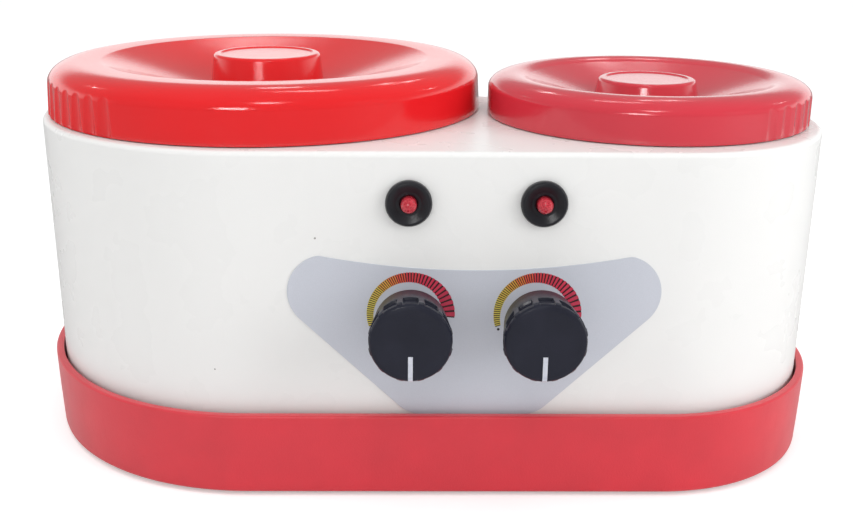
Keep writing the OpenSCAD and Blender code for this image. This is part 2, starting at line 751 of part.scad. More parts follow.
// Dial: fluted drum that widens to a bevelled face, hollow behind round its hub
dial_bevel = 2.4;
function drum_r(z) = dial_back_r + (dial_r - dial_back_r) * (z - dial_reach + dial_length)
    / (dial_length - dial_bevel);
module dial_profile(grow = 0) {
    back = dial_reach - dial_length;
    polygon([[0, back], [dial_back_r + grow, back], [dial_r + grow, dial_reach - dial_bevel],
        [dial_r - 0.25 + grow, dial_reach - 1.3 + grow], [dial_r - 1 + grow, dial_reach - 0.35 + grow],
        [dial_r - 2.3, dial_reach + grow], [0, dial_reach + grow]]);
}

module pointer_bar(extra = 0) {
    translate([-pointer_width / 2, -dial_r - 1, dial_reach - dial_bevel])
        cube([pointer_width, dial_r + 1 - pointer_start, 6]);
}

module dial(side) {
    back = dial_reach - dial_length;
    hub_back = bush_reach + 0.8;
    shaft_end = dial_reach - 4;
    near = back + 2.2;
    far = dial_reach - dial_bevel - 1.2;
    width = 21;
    color("darkslategray") at_dials(side) difference() {
        union() {
            rotate_extrude() dial_profile();
            translate([0, 0, hub_back]) cylinder(r = 7.5, h = back - hub_back + 1);
        }
        translate([0, 0, hub_back - 1]) cylinder(r = shaft_r, h = shaft_end - hub_back + 1);
        // Hollow behind, round the hub
        translate([0, 0, back - 1]) difference() {
            cylinder(r = dial_back_r - 1.9, h = dial_length - 4);
            translate([0, 0, -1]) cylinder(r = 7.5, h = dial_length);
        }
        for (i = [0:dial_flutes - 1]) rotate([0, 0, i * 360 / dial_flutes + 90 - width / 2])
            rotate_extrude(angle = width) polygon([[drum_r(near) - dial_flute_depth, near], [dial_r + 2, near],
                [dial_r + 2, far], [drum_r(far) - dial_flute_depth, far]]);
        pointer_bar();
    }
}

module dial_pointer(side) {
    color("white") at_dials(side) intersection() {
        rotate_extrude() dial_profile(0.08);
        pointer_bar();
    }
}

module dial_shaft(side) {
    color("silver") at_dials(side) translate([0, 0, -shell_wall - case_depth + 3])
        cylinder(r = shaft_r, h = dial_reach - 4 + shell_wall + case_depth - 3);
}

large_split = -42;
small_split = -152;

shell();
base_tray();
rubber_feet();
tray_screws();
control_overlay();
lamp_bezel(-1);  // left_lamp_bezel
lamp_bezel(1);  // right_lamp_bezel
lamp_lens(-1);  // left_lamp_lens
lamp_lens(1);  // right_lamp_lens
neon_bulb(-1);  // left_neon_bulb
neon_bulb(1);  // right_neon_bulb
lamp_nuts();
thermostat(-1);  // left_thermostat
thermostat(1);  // right_thermostat
panel_nuts();
sensor_bulb(-1, large_at, -30);  // left_sensor_bulb
sensor_bulb(1, small_at, -150);  // right_sensor_bulb
heater_well(large_at, large_pot_r);  // left_heater_well
heater_well(small_at, small_pot_r);  // right_heater_well
well_screws();
heater_band(large_at, large_pot_r, large_split);  // left_heater_band
heater_band(small_at, small_pot_r, small_split);  // right_heater_band
heater_clamp_screws();
insulation(large_at, large_pot_r, large_split);  // left_insulation
insulation(small_at, small_pot_r, small_split);  // right_insulation
thermal_fuses();
terminal_block();
terminal_screws();
cord_bushing();
cord_bushing_nut();
wiring();
pot(large_at, large_pot_r);  // left_pot
pot(small_at, small_pot_r);  // right_pot
lid(large_at, large_lid_r, large_lid_height, large_shoulder_z, large_crest_in, large_lip_in, large_lip_drop,  // left_lid
        large_grip_r, large_grip_height, large_flutes, 214);
lid(small_at, small_lid_r, small_lid_height, small_shoulder_z, small_crest_in, small_lip_in, small_lip_drop,  // right_lid
        small_grip_r, small_grip_height, small_flutes, -34);
dial(-1);  // left_dial
dial(1);  // right_dial
dial_pointer(-1);  // left_dial_pointer
dial_pointer(1);  // right_dial_pointer
dial_shaft(-1);  // left_dial_shaft
dial_shaft(1);  // right_dial_shaft
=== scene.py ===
"""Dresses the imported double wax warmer: moulded shell and tray, lids, pots, dials, lamps and a studio."""

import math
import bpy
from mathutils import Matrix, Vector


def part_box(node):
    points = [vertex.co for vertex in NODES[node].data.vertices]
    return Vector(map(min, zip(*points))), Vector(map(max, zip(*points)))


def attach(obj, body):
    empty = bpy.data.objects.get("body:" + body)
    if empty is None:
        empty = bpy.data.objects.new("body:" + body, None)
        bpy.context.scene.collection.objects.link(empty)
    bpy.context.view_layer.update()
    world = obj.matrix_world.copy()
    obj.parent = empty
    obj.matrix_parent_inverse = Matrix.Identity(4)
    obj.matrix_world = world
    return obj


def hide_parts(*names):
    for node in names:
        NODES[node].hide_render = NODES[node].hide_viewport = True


bl_info = {
    "name": "Double wax warmer",
    "version": (1, 0, 0),
    "blender": (4, 5, 0),
    "location": "View3D > Sidebar > Wax warmer",
    "description": "Builds the finished pieces of a double wax warmer over its packed model",
    "category": "Object",
}

import bmesh
import bpy
from mathutils import Matrix, Vector, noise

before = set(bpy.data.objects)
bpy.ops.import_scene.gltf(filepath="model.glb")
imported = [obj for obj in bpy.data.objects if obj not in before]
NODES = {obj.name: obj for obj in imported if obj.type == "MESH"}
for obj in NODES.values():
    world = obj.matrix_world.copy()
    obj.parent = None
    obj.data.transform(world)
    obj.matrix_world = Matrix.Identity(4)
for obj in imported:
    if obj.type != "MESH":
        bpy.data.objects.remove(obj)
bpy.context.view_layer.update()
MM = 0.001
SHOT_WIDTH = 853
SHOT_FOCUS = 1089.67
SIDES = ("left", "right")


def low_high(node):
    """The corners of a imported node's box, in millimetres."""
    low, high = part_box(node)
    return [c / MM for c in low], [c / MM for c in high]


def middle(node):
    low, high = low_high(node)
    return [(a + b) / 2 for a, b in zip(low, high)]


def on_both_sides(node):
    """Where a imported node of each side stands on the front, by its x and z."""
    return {side: middle(side + node)[::2] for side in SIDES}


LARGE = [round(c, 1) for c in middle("left_pot")[:2]]
SMALL = [round(c, 1) for c in middle("right_pot")[:2]]
DECK = low_high("shell")[1][2]
FRONT = low_high("control_overlay")[1][1]
PANEL_X = middle("control_overlay")[0]
DIALS = on_both_sides("_dial_shaft")
LAMPS = on_both_sides("_lamp_bezel")
DIAL_FACE = FRONT - low_high("left_dial")[0][1]
POT_FLOOR = low_high("left_pot")[0][2]
POT_RIM = low_high("left_pot")[1][2]
WELL_FLOOR = low_high("left_heater_well")[0][2]
FOOT = low_high("base_tray")[0][2]
BAND_TOP = low_high("base_tray")[1][2]
BUSHING = (middle("cord_bushing")[0], low_high("cord_bushing")[1][1] - 17, middle("cord_bushing")[2])
HEATER = low_high("left_insulation")
TRAY_FLOOR = 4.0
WALL_LEVELS = (34.0, 60.0, 85.0, 108.0)
BOSS_FOOT = 6.4
BOSS_TOP = 40.0
# Side, centre and radius of each pot
POTS = (("left", LARGE, 75.0), ("right", SMALL, 52.5))
# Screw bosses and rubber feet, each by a centre with its distance and direction from there
BOSSES = (
    (LARGE, 79.5, 125), (LARGE, 79.5, 55), (LARGE, 79.5, 195), (SMALL, 56.3, 75), (SMALL, 56.3, 5),
    ((LARGE[0], FRONT + 9.5), 0.0, -90), ((SMALL[0], FRONT + 9.5), 0.0, -90))
FEET = ((LARGE, 67.0, 110), (LARGE, 67.0, 240), (SMALL, 45.8, 50), (SMALL, 41.8, -60))
SCALE_START = 198.0
SCALE_SWEEP = 203.0
# Colours of the heat scale from cold to hot, and the shares of the sweep where each gives way
HEAT_TONES = (
    (0.60, 0.50, 0.080), (0.62, 0.45, 0.065), (0.66, 0.34, 0.050), (0.68, 0.19, 0.045),
    (0.66, 0.090, 0.050), (0.60, 0.045, 0.060), (0.56, 0.032, 0.072), (0.50, 0.028, 0.070))
TONE_ENDS = (0.20, 0.29, 0.36, 0.43, 0.50, 0.60, 0.80)
SMALL_LID = {
    "foot": 63.5, "shoulder": 10.5, "crest_r": 53.4, "crest": 16.1, "lip_r": 47.2, "lip_drop": 1.7,
    "grip_r": 19.1, "grip": 14.7, "flute_depth": 0.55}


def length(name, text, millimetres):
    """A length that a user may change, given here in millimetres and kept in metres."""
    return bpy.props.FloatProperty(
        name=name, description=text, default=millimetres * MM, min=0.0, precision=5,
        unit="LENGTH", subtype="DISTANCE")


def share(name, text, value, top=1.0):
    return bpy.props.FloatProperty(
        name=name, description=text, default=value, min=0.0, max=top, subtype="FACTOR")


def power(name, text, value):
    return bpy.props.FloatProperty(name=name, description=text, default=value, unit="POWER")


def colour(name, text, value):
    return bpy.props.FloatVectorProperty(
        name=name, description=text, default=value, size=3, min=0.0, max=1.0, subtype="COLOR")


def number(name, text, value, least, most):
    return bpy.props.IntProperty(name=name, description=text, default=value, min=least, max=most)


def section(kind, name, text):
    return bpy.props.PointerProperty(type=kind, name=name, description=text)


class BodySettings(bpy.types.PropertyGroup):
    """Sizes of the moulded shell and of the tray round its foot."""

    large_drum: length("Large drum", "Radius of the body round the large pot", 89.0)
    small_drum: length("Small drum", "Radius of the body round the small pot", 65.8)
    waist: length("Rear hollow", "Radius of the hollow between the drums at the rear", 12.0)
    wall: length("Wall", "Thickness of the shell's wall", 2.5)
    deck: length("Deck", "Thickness of the deck", 3.0)
    deck_edge: length("Deck edge", "Radius of the rounded edge between the wall and the deck", 1.9)
    band_out: length("Band reach", "How far the tray's band stands out from the shell", 5.5)
    band_gap: length("Band gap", "Gap between the band and the shell", 2.5)
    band_draft: length("Band draft", "How far the band narrows towards its foot", 0.8)
    band_edge: length("Band edge", "Radius of the band's rounded upper edge", 0.9)
    band_pinch: length("Band pinch", "How far the band draws in at its two ends", 1.9)


class LidSettings(bpy.types.PropertyGroup):
    """Outline of one lid, its heights taken from the deck."""

    foot: length("Lower edge", "Radius of the lid at its lower edge", 88.0)
    draft: share("Draft", "How much the wall narrows for each unit of height", 0.056)
    shoulder: length("Shoulder", "Height at which the wall rounds over", 12.1)
    crest_r: length("Crest radius", "Radius of the lid's crest", 75.5)
    crest: length("Crest", "Height of the lid's crest", 20.0)
    lip_r: length("Lip radius", "Radius at which the dish begins", 66.4)
    lip_drop: length("Lip drop", "How far the lip lies below the crest", 0.3)
    grip_r: length("Grip", "Radius of the grip at its top", 21.75)
    grip: length("Grip height", "Height of the grip", 21.2)
    flutes: number("Flutes", "Number of finger flutes", 9, 0, 15)
    flute_depth: length("Flute depth", "Depth of a finger flute", 1.2)
    outward: bpy.props.FloatProperty(
        name="Flutes at", description="Direction of the middle flute", default=math.radians(214.0),
        subtype="ANGLE")


class DialSettings(bpy.types.PropertyGroup):
    """Sizes of a heat dial and of the scale printed round it."""

    back_r: length("Back radius", "Radius of a dial at its back edge", 12.7)
    front_r: length("Front radius", "Largest radius of a dial", 14.4)
    drum: length("Drum", "Length of the fluted drum", 18.6)
    pockets: number("Pockets", "Number of pockets round a dial", 12, 4, 40)
    pocket_depth: length("Pocket depth", "Depth of a pocket", 1.0)
    pointer: length("Pointer", "Width of the pointer line", 1.6)
    scale_r: length("Scale", "Outer radius of the heat scale", 15.75)
    scale_thin: length("Scale start", "Width of the heat scale where it starts", 2.1)
    scale_wide: length("Scale end", "Width of the heat scale where it ends", 4.8)


class FinishSettings(bpy.types.PropertyGroup):
    """Colours and gloss of the finishes."""

    shell: colour("Shell", "White of the moulded shell", (0.80, 0.80, 0.79))
    tray: colour("Tray", "Red of the base tray", (0.69, 0.020, 0.038))
    left_lid: colour("Left lid", "Red of the large lid", (0.75, 0.012, 0.015))
    right_lid: colour("Right lid", "Red of the small lid", (0.62, 0.036, 0.056))
    overlay: colour("Overlay", "Silver of the panel overlay", (0.52, 0.54, 0.60))
    dials: colour("Dials", "Charcoal of the dials", (0.015, 0.016, 0.026))
    lens: colour("Lens", "Red of the lamp lenses", (0.30, 0.004, 0.014))
    gloss: share("Gloss", "Roughness of the glossy mouldings", 0.16)
    satin: share("Satin", "Roughness of the satin mouldings", 0.42)


class StudioSettings(bpy.types.PropertyGroup):
    """Strength of the lamps, the room and the floor."""

    room: share("Room", "Strength of the room's plain light", 0.78, 4.0)
    backdrop: share("Backdrop", "Strength of the bright backdrop that gloss mirrors", 1.15, 4.0)
    ceiling: share("Ceiling", "Strength of the ceiling that gloss mirrors", 0.32, 4.0)
    front: share("Front", "Strength of the room in front that gloss mirrors", 0.25, 4.0)
    key: power("Key lamp", "Power of the lamp above", 4.5)
    side: power("Side lamps", "Power of each side lamp", 3.0)
    panes: share("Panes", "Strength of the small bright panes that gloss mirrors", 14.0, 60.0)
    floor: colour("Floor", "Colour of the floor", (0.86, 0.86, 0.86))
    lift: share("Lift", "How much the floor is lifted towards the backdrop", 0.35)


class WarmerSettings(bpy.types.PropertyGroup):
    """All sizes, finishes and lights of the wax warmer."""

    body: section(BodySettings, "Body", "Shell and tray")
    large_lid: section(LidSettings, "Large lid", "Outline of the large lid")
    small_lid: section(LidSettings, "Small lid", "Outline of the small lid")
    dials: section(DialSettings, "Dials", "Dials and scales")
    finish: section(FinishSettings, "Finish", "Colours and gloss")
    studio: section(StudioSettings, "Studio", "Lamps and floor")


def settings():
    return bpy.context.scene.wax_warmer


def mm(value):
    """A kept length in millimetres."""
    return value / MM


def on_front(x, z):
    """Places a shape with its +Z facing the front, at a point of the shell's front."""
    return lambda a, b, c: (x + a, FRONT - c, z + b)


def on_rear(a, b, c):
    """Places a shape with its +Z facing the rear, at the cord bushing's pad."""
    return (BUSHING[0] + a, BUSHING[1] + c, BUSHING[2] - b)


def upright(centre):
    return lambda a, b, c: (centre[0] + a, centre[1] + b, c)


def polar(centre, radius, degrees):
    """The point at a distance and a direction from a centre."""
    turn = math.radians(degrees)
    return centre[0] + radius * math.cos(turn), centre[1] + radius * math.sin(turn)


def arc(centre, radius, start, stop, count):
    """Points on an arc from one angle to another, in degrees, both ends included."""
    return [polar(centre, radius, start + (stop - start) * i / count) for i in range(count + 1)]


def quarter(count, first=0):
    """Cosines and sines over a quarter turn, in equal steps."""
    turns = [math.pi / 2 * k / count for k in range(first, count + 1)]
    return [(math.cos(turn), math.sin(turn)) for turn in turns]


def line(start, stop, count):
    return [(start[0] + (stop[0] - start[0]) * i / count, start[1] + (stop[1] - start[1]) * i / count)
            for i in range(count + 1)]


def ease(low, high, value):
    """A smooth step from 0 at low to 1 at high."""
    t = min(max((value - low) / (high - low), 0.0), 1.0)
    return t * t * (3 - 2 * t)


def softened(corners, closed=False, steps=5):
    """Rounds each corner of an outline by its own radius. A corner is (x, y, radius)."""
    out = []
    count = len(corners)
    for i, (x, y, radius) in enumerate(corners):
        if radius <= 0 or (not closed and i in (0, count - 1)):
            out.append((x, y))
            continue
        here = Vector((x, y))
        before = Vector(corners[i - 1][:2]) - here
        after = Vector(corners[(i + 1) % count][:2]) - here
        room = min(before.length, after.length) * 0.49
        before.normalize()
        after.normalize()
        half = before.angle(after) / 2
        reach = min(radius / math.tan(half), room)
        centre = here + (before + after).normalized() * (reach / math.cos(half))
        first = here + before * reach - centre
        last = here + after * reach - centre
        start = math.atan2(first.y, first.x)
        turn = math.atan2(last.y, last.x) - start
        turn = (turn + math.pi) % (2 * math.pi) - math.pi
        for k in range(steps + 1):
            angle = start + turn * k / steps
            x = centre.x + first.length * math.cos(angle)
            out.append((x, centre.y + first.length * math.sin(angle)))
    return out


def spread_out(outline, gap):
    """Adds points along the long sides of a closed outline."""
    out = []
    for here, after in zip(outline, outline[1:] + outline[:1]):
        count = max(1, int(math.dist(here, after) / gap))
        out += line(here, after, count)[:-1]
    return out


def footprint(grow=0.0, pinch=0.0):
    """Outline of the body from above, grown outwards and drawn in at its ends, always as many points."""
    body = settings().body
    large = mm(body.large_drum)
    small = mm(body.small_drum)
    waist = mm(body.waist)
    reach_a = large + waist
    reach_b = small + waist
    dx = SMALL[0] - LARGE[0]
    dy = SMALL[1] - LARGE[1]
    span = math.hypot(dx, dy)
    along = (reach_a ** 2 - reach_b ** 2 + span ** 2) / (2 * span)
    across = math.sqrt(reach_a ** 2 - along ** 2)
    hollow = (LARGE[0] + (along * dx - across * dy) / span,
              LARGE[1] + (along * dy + across * dx) / span)
    to_large = math.degrees(math.atan2(hollow[1] - LARGE[1], hollow[0] - LARGE[0]))
    to_small = math.degrees(math.atan2(hollow[1] - SMALL[1], hollow[0] - SMALL[0]))
    front = FRONT - grow
    right = SMALL[0] + small + grow
    left = LARGE[0] - large - grow
    small_corner = (SMALL[0], FRONT + small)
    large_corner = (LARGE[0], FRONT + large)
    runs = [
        line((LARGE[0], front), (SMALL[0], front), 24),
        arc(small_corner, small + grow, -90, 0, 44),
        line((right, small_corner[1]), (right, SMALL[1]), 3),
        arc(SMALL, small + grow, 0, to_small, 64),
        arc(hollow, waist - grow, to_small - 180, to_large - 180, 28),
        arc(LARGE, large + grow, to_large, 180, 84),
        line((left, LARGE[1]), (left, large_corner[1]), 3),
        arc(large_corner, large + grow, 180, 270, 52),
    ]
    out = []
    for x, y in [point for run in runs for point in run[:-1]]:
        before = max(LARGE[0] - x, 0.0) / (LARGE[0] - left)
        after = max(x - SMALL[0], 0.0) / (right - SMALL[0])
        out.append((x + pinch * (before ** 2 - after ** 2), y))
    return out


def at_height(outline, z):
    return [(x, y, z) for x, y in outline]


class Shape:
    """Points in millimetres and faces, gathered part by part and made into one object in metres."""

    def __init__(self, name):
        self.name = name
        self.points = []
        self.faces = []

    def add(self, points, faces):
        first = len(self.points)
        self.points.extend(points)
        self.faces.extend([[first + i for i in face] for face in faces])

    def stack(self, loops):
        """Joins loops with equal numbers of points, one above the other, and caps both ends."""
        count = len(loops[0])
        faces = []
        for low in range(0, (len(loops) - 1) * count, count):
            for i in range(count):
                j = (i + 1) % count
                faces.append([low + i, low + j, low + count + j, low + count + i])
        faces.append(list(range(count - 1, -1, -1)))
        faces.append([(len(loops) - 1) * count + i for i in range(count)])
        self.add([point for loop in loops for point in loop], faces)

    def turn(self, profile, place, steps=96, angles=None, bend=None, closed=True):
        """Revolves an outline of (radius, height) points. A point on the axis becomes a single pole."""
        angles = angles or [360.0 * i / steps for i in range(steps)]
        count = len(angles)
        spokes = [(math.cos(math.radians(a)), math.sin(math.radians(a))) for a in angles]
        points = []
        rows = []
        for index, (radius, height) in enumerate(profile):
            if radius < 1e-6:
                rows.append([len(points)])
                points.append(place(0.0, 0.0, height))
                continue
            row = []
            for angle, (c, s) in zip(angles, spokes):
                r = bend(radius, height, angle, index) if bend else radius
                row.append(len(points))
                points.append(place(r * c, r * s, height))
            rows.append(row)
        pairs = list(zip(rows, rows[1:]))
        if closed:
            pairs.append((rows[-1], rows[0]))
        faces = []
        for low, high in pairs:
            if len(low) == 1 and len(high) == 1:
                continue
            for i in range(count):
                j = (i + 1) % count
                if len(low) == 1:
                    faces.append([low[0], high[j], high[i]])
                elif len(high) == 1:
                    faces.append([low[i], low[j], high[0]])
                else:
                    faces.append([low[i], low[j], high[j], high[i]])
        self.add(points, faces)

    def drill(self, place, radius, low, high, steps=48):
        """A plain round plug, to cut a hole with."""
        self.turn([(0, low), (radius, low), (radius, high), (0, high)], place, steps, closed=False)

    def block(self, low, high, place):
        corners = [(low[0], low[1]), (high[0], low[1]), (high[0], high[1]), (low[0], high[1])]
        self.stack([[place(x, y, z) for x, y in corners] for z in (low[2], high[2])])

    def tube(self, path, radius, sides=14, bend=6.0):
        """A round lead along a path whose corners are rounded."""
        points = rounded_path([Vector(p) for p in path], bend)
        side = Vector((0.31, 0.87, 0.38))
        loops = []
        for i, point in enumerate(points):
            ahead = points[min(i + 1, len(points) - 1)] - points[max(i - 1, 0)]
            ahead.normalize()
            side = (side - ahead * side.dot(ahead)).normalized()
            other = ahead.cross(side)
            loops.append([tuple(point + (side * math.cos(t) + other * math.sin(t)) * radius)
                          for t in [2 * math.pi * k / sides for k in range(sides)]])
        self.stack(loops)

    def make(self, sharp=35.0):
        mesh = bpy.data.meshes.new(self.name)
        mesh.from_pydata([[c * MM for c in point] for point in self.points], [], self.faces)
        mesh.validate()
        piece = bpy.data.objects.new(self.name, mesh)
        bpy.context.scene.collection.objects.link(piece)
        settle(piece, sharp)
        return piece


def rounded_path(points, bend, steps=7):
    out = [points[0]]
    for before, here, after in zip(points, points[1:], points[2:]):
        back = before - here
        on = after - here
        reach = min(bend, back.length * 0.48, on.length * 0.48)
        start = here + back.normalized() * reach
        stop = here + on.normalized() * reach
        for k in range(steps + 1):
            t = k / steps
            out.append(start * (1 - t) ** 2 + here * 2 * t * (1 - t) + stop * t * t)
    out.append(points[-1])
    return out


def settle(piece, sharp=35.0, weighted=False):
    """Turns the faces outwards, smooths them and keeps the crisp edges."""
    mesh = piece.data
    work = bmesh.new()
    work.from_mesh(mesh)
    bmesh.ops.remove_doubles(work, verts=work.verts, dist=1e-7)
    bmesh.ops.recalc_face_normals(work, faces=work.faces)
    work.to_mesh(mesh)
    work.free()
    mesh.shade_smooth()
    mesh.set_sharp_from_angle(angle=math.radians(sharp))
    if weighted:
        even = piece.modifiers.new("even_normals", "WEIGHTED_NORMAL")
        even.keep_sharp = True
        even.weight = 60


def carve(piece, cutter):
    """Cuts one closed mesh out of another for good."""
    cut = piece.modifiers.new("cut", "BOOLEAN")
    cut.operation = "DIFFERENCE"
    cut.solver = "EXACT"
    cut.object = cutter
    bpy.context.view_layer.update()
    seen = piece.evaluated_get(bpy.context.evaluated_depsgraph_get())
    made = bpy.data.meshes.new_from_object(seen)
    piece.modifiers.remove(cut)
    old = piece.data
    piece.data = made
    bpy.data.meshes.remove(old)
    bpy.data.objects.remove(cutter)
    if len(made.polygons) < 6:
        raise RuntimeError("the cut left nothing of " + piece.name)


def absorb(piece, other):
    """Adds another piece's mesh to this one's."""
    work = bmesh.new()
    work.from_mesh(piece.data)
    work.from_mesh(other.data)
    work.to_mesh(piece.data)
    work.free()
    bpy.data.objects.remove(other)


def fill(tree, socket, value):
    """Joins an input to a socket, or sets its value."""
    if isinstance(value, bpy.types.NodeSocket):
        tree.links.new(value, socket)
    else:
        socket.default_value = value


def put(tree, kind, inputs=None, **values):
    """Adds a node, sets its values and joins or fills its inputs."""
    made = tree.nodes.new("ShaderNode" + kind)
    for key, value in values.items():
        setattr(made, key, value)
    for key, value in (inputs or {}).items():
        fill(tree, made.inputs[key], value)
    return made


def sums(tree, operation, *terms):
    """One arithmetic step between sockets or numbers."""
    return put(tree, "Math", dict(enumerate(terms)), operation=operation).outputs[0]


def place_on(tree):
    """The place on the piece that is being shaded."""
    return put(tree, "TexCoord").outputs["Object"]


def cloud(tree, where, scale, detail=2.0):
    return put(tree, "TexNoise", {"Vector": where, "Scale": scale, "Detail": detail}).outputs[0]


def ramp(tree, value, low, high, start=0.0, stop=1.0, **values):
    """Stretches a value's range from low to high onto another."""
    ends = {"Value": value, "From Min": low, "From Max": high, "To Min": start, "To Max": stop}
    return put(tree, "MapRange", ends, **values).outputs[0]


def mix(tree, factor, first, second, **values):
    """A colour between two others."""
    return put(tree, "Mix", {0: factor, 6: first, 7: second}, data_type="RGBA", **values).outputs[2]


def new_group(name, inputs, output, kind="Float"):
    """An effect with its named inputs and its one output, still empty."""
    tree = bpy.data.node_groups.new(name, "ShaderNodeTree")
    for label, value in inputs.items():
        shape = {3: "Vector", 4: "Color"}[len(value)] if isinstance(value, tuple) else "Float"
        socket = tree.interface.new_socket(label, in_out="INPUT", socket_type="NodeSocket" + shape)
        socket.default_value = value
    tree.interface.new_socket(output, in_out="OUTPUT", socket_type="NodeSocket" + kind)
    start = tree.nodes.new("NodeGroupInput")
    end = tree.nodes.new("NodeGroupOutput")
    return tree, start.outputs, end.inputs[0]


def skin_group():
    """Fine grain and a slow ripple, as moulded plastic shows."""
    tree, given, result = new_group("moulded skin", {
        "Grain Scale": 2500.0, "Grain": 0.3, "Ripple Scale": 60.0, "Ripple": 0.5}, "Height")
    where = place_on(tree)
    grain = sums(tree, "MULTIPLY", cloud(tree, where, given["Grain Scale"]), given["Grain"])
    slow = cloud(tree, where, given["Ripple Scale"], 1.0)
    tree.links.new(sums(tree, "MULTIPLY_ADD", slow, given["Ripple"], grain), result)
    return tree


def marks_group():
    """Uneven gloss with faint rubbed streaks, from handling and wiping."""
    tree, given, result = new_group("handling marks", {
        "Roughness": 0.3, "Spread": 0.05, "Scale": 40.0, "Streaks": 0.04}, "Roughness")
    where = place_on(tree)
    drawn = put(tree, "Mapping", {"Vector": where, "Rotation": (0.3, 0.9, 0.5), "Scale": (30, 700, 60)})
    streaks = ramp(tree, cloud(tree, drawn.outputs[0], 1.0), 0.60, 0.70)
    patches = sums(tree, "SUBTRACT", cloud(tree, where, given["Scale"], 3.0), 0.5)
    uneven = sums(tree, "MULTIPLY", patches, 2.0)
    base = sums(tree, "MULTIPLY_ADD", uneven, given["Spread"], given["Roughness"])
    tree.links.new(sums(tree, "MULTIPLY_ADD", streaks, given["Streaks"], base), result)
    return tree


def drift_group():
    """Slow drift between two colours, with tiny specks of a third."""
    tree, given, result = new_group("colour drift", {
        "Colour": (0.8, 0.8, 0.8, 1), "Other": (0.7, 0.7, 0.7, 1), "Scale": 20.0,
        "Speck": (0.3, 0.3, 0.3, 1), "Speck Size": 0.0, "Speck Scale": 30.0}, "Colour", "Color")
    where = place_on(tree)
    spread = ramp(tree, cloud(tree, where, given["Scale"], 3.0), 0.3, 0.7)
    base = mix(tree, spread, given["Colour"], given["Other"])
    cell = put(tree, "TexVoronoi", {"Vector": where, "Scale": given["Speck Scale"]})
    dots = sums(tree, "LESS_THAN", cell.outputs["Distance"], given["Speck Size"])
    tree.links.new(mix(tree, dots, base, given["Speck"]), result)
    return tree


def rings_group():
    """Fine rings round an upright axis, as a spinning lathe leaves them."""
    tree, given, result = new_group("spun rings", {
        "Centre": (0.0, 0.0, 0.0), "Pitch": 0.0006, "Depth": 0.5}, "Height")
    away = put(tree, "VectorMath", {0: place_on(tree), 1: given["Centre"]}, operation="SUBTRACT")
    parts = put(tree, "SeparateXYZ", {0: away.outputs[0]}).outputs
    flat = put(tree, "CombineXYZ", {0: parts[0], 1: parts[1]})
    radius = put(tree, "VectorMath", {0: flat.outputs[0]}, operation="LENGTH")
    across = sums(tree, "ADD", radius.outputs["Value"], parts[2])
    turns = sums(tree, "DIVIDE", across, given["Pitch"])
    rough = put(tree, "TexNoise", {"W": turns, "Scale": 1.0, "Detail": 3.0}, noise_dimensions="1D")
    tree.links.new(sums(tree, "MULTIPLY", rough.outputs[0], given["Depth"]), result)
    return tree


def wear_group():
    """Where an edge stands out, for plating that rubs thin there."""
    tree, given, result = new_group("edge wear", {"Start": 0.52, "Full": 0.6, "Amount": 0.5}, "Mask")
    bend = put(tree, "NewGeometry").outputs["Pointiness"]
    edge = ramp(tree, bend, given["Start"], given["Full"])
    patchy = sums(tree, "MULTIPLY", edge, cloud(tree, place_on(tree), 300.0))
    tree.links.new(sums(tree, "MULTIPLY", patchy, given["Amount"]), result)
    return tree


GROUP_MAKERS = {"moulded skin": skin_group, "handling marks": marks_group, "colour drift": drift_group,
                "spun rings": rings_group, "edge wear": wear_group}


def effect(tree, name, inputs):
    """Places a shared effect in a material, made once and reused, and returns what it puts out."""
    group = bpy.data.node_groups.get(name) or GROUP_MAKERS[name]()
    return put(tree, "Group", inputs, node_tree=group).outputs[0]


def solid(value):
    return tuple(value) + (1.0,)


def scaled(value, factor):
    return tuple(min(c * factor, 1.0) for c in value)


def base_material(name):
    material = bpy.data.materials.new(name)
    material.use_nodes = True
    tree = material.node_tree
    return material, tree, tree.nodes["Principled BSDF"]


def shade(tree, shader, given):
    for key, value in given.items():
        fill(tree, shader.inputs[key], value)


def surface(tree, shader, base, marks, height, depth, plain=None):
    """Joins a finish's colour, uneven gloss and relief to its shader, and sets its plain values."""
    bump = put(tree, "Bump", {"Height": height, "Distance": depth, "Strength": 1.0})
    shade(tree, shader, {
        "Base Color": base, "Roughness": effect(tree, "handling marks", marks),
        "Normal": bump.outputs[0]})
    shade(tree, shader, plain or {})


def moulded(name, main, other=None, roughness=0.3, spread=0.04, streaks=0.03, grain=(2600.0, 0.3),
            ripple=(70.0, 0.4), depth=0.00008, drift_scale=18.0, speck=None, coat=0.0,
            coat_roughness=0.08, specular=0.5, sheen=0.0):
    """A moulded plastic or rubber: drifting colour, uneven gloss, grain and ripple."""
    material, tree, shader = base_material(name)
    colours = {"Colour": solid(main), "Other": solid(other or scaled(main, 0.94)), "Scale": drift_scale}
    if speck:
        colours.update({"Speck": solid(speck[0]), "Speck Size": speck[1], "Speck Scale": speck[2]})
    base = effect(tree, "colour drift", colours)
    marks = {"Roughness": roughness, "Spread": spread, "Scale": 45.0, "Streaks": streaks}
    skin = effect(tree, "moulded skin", {
        "Grain Scale": grain[0], "Grain": grain[1], "Ripple Scale": ripple[0], "Ripple": ripple[1]})
    surface(tree, shader, base, marks, skin, depth, {
        "Specular IOR Level": specular, "Coat Weight": coat, "Coat Roughness": coat_roughness,
        "Sheen Weight": sheen})
    return material


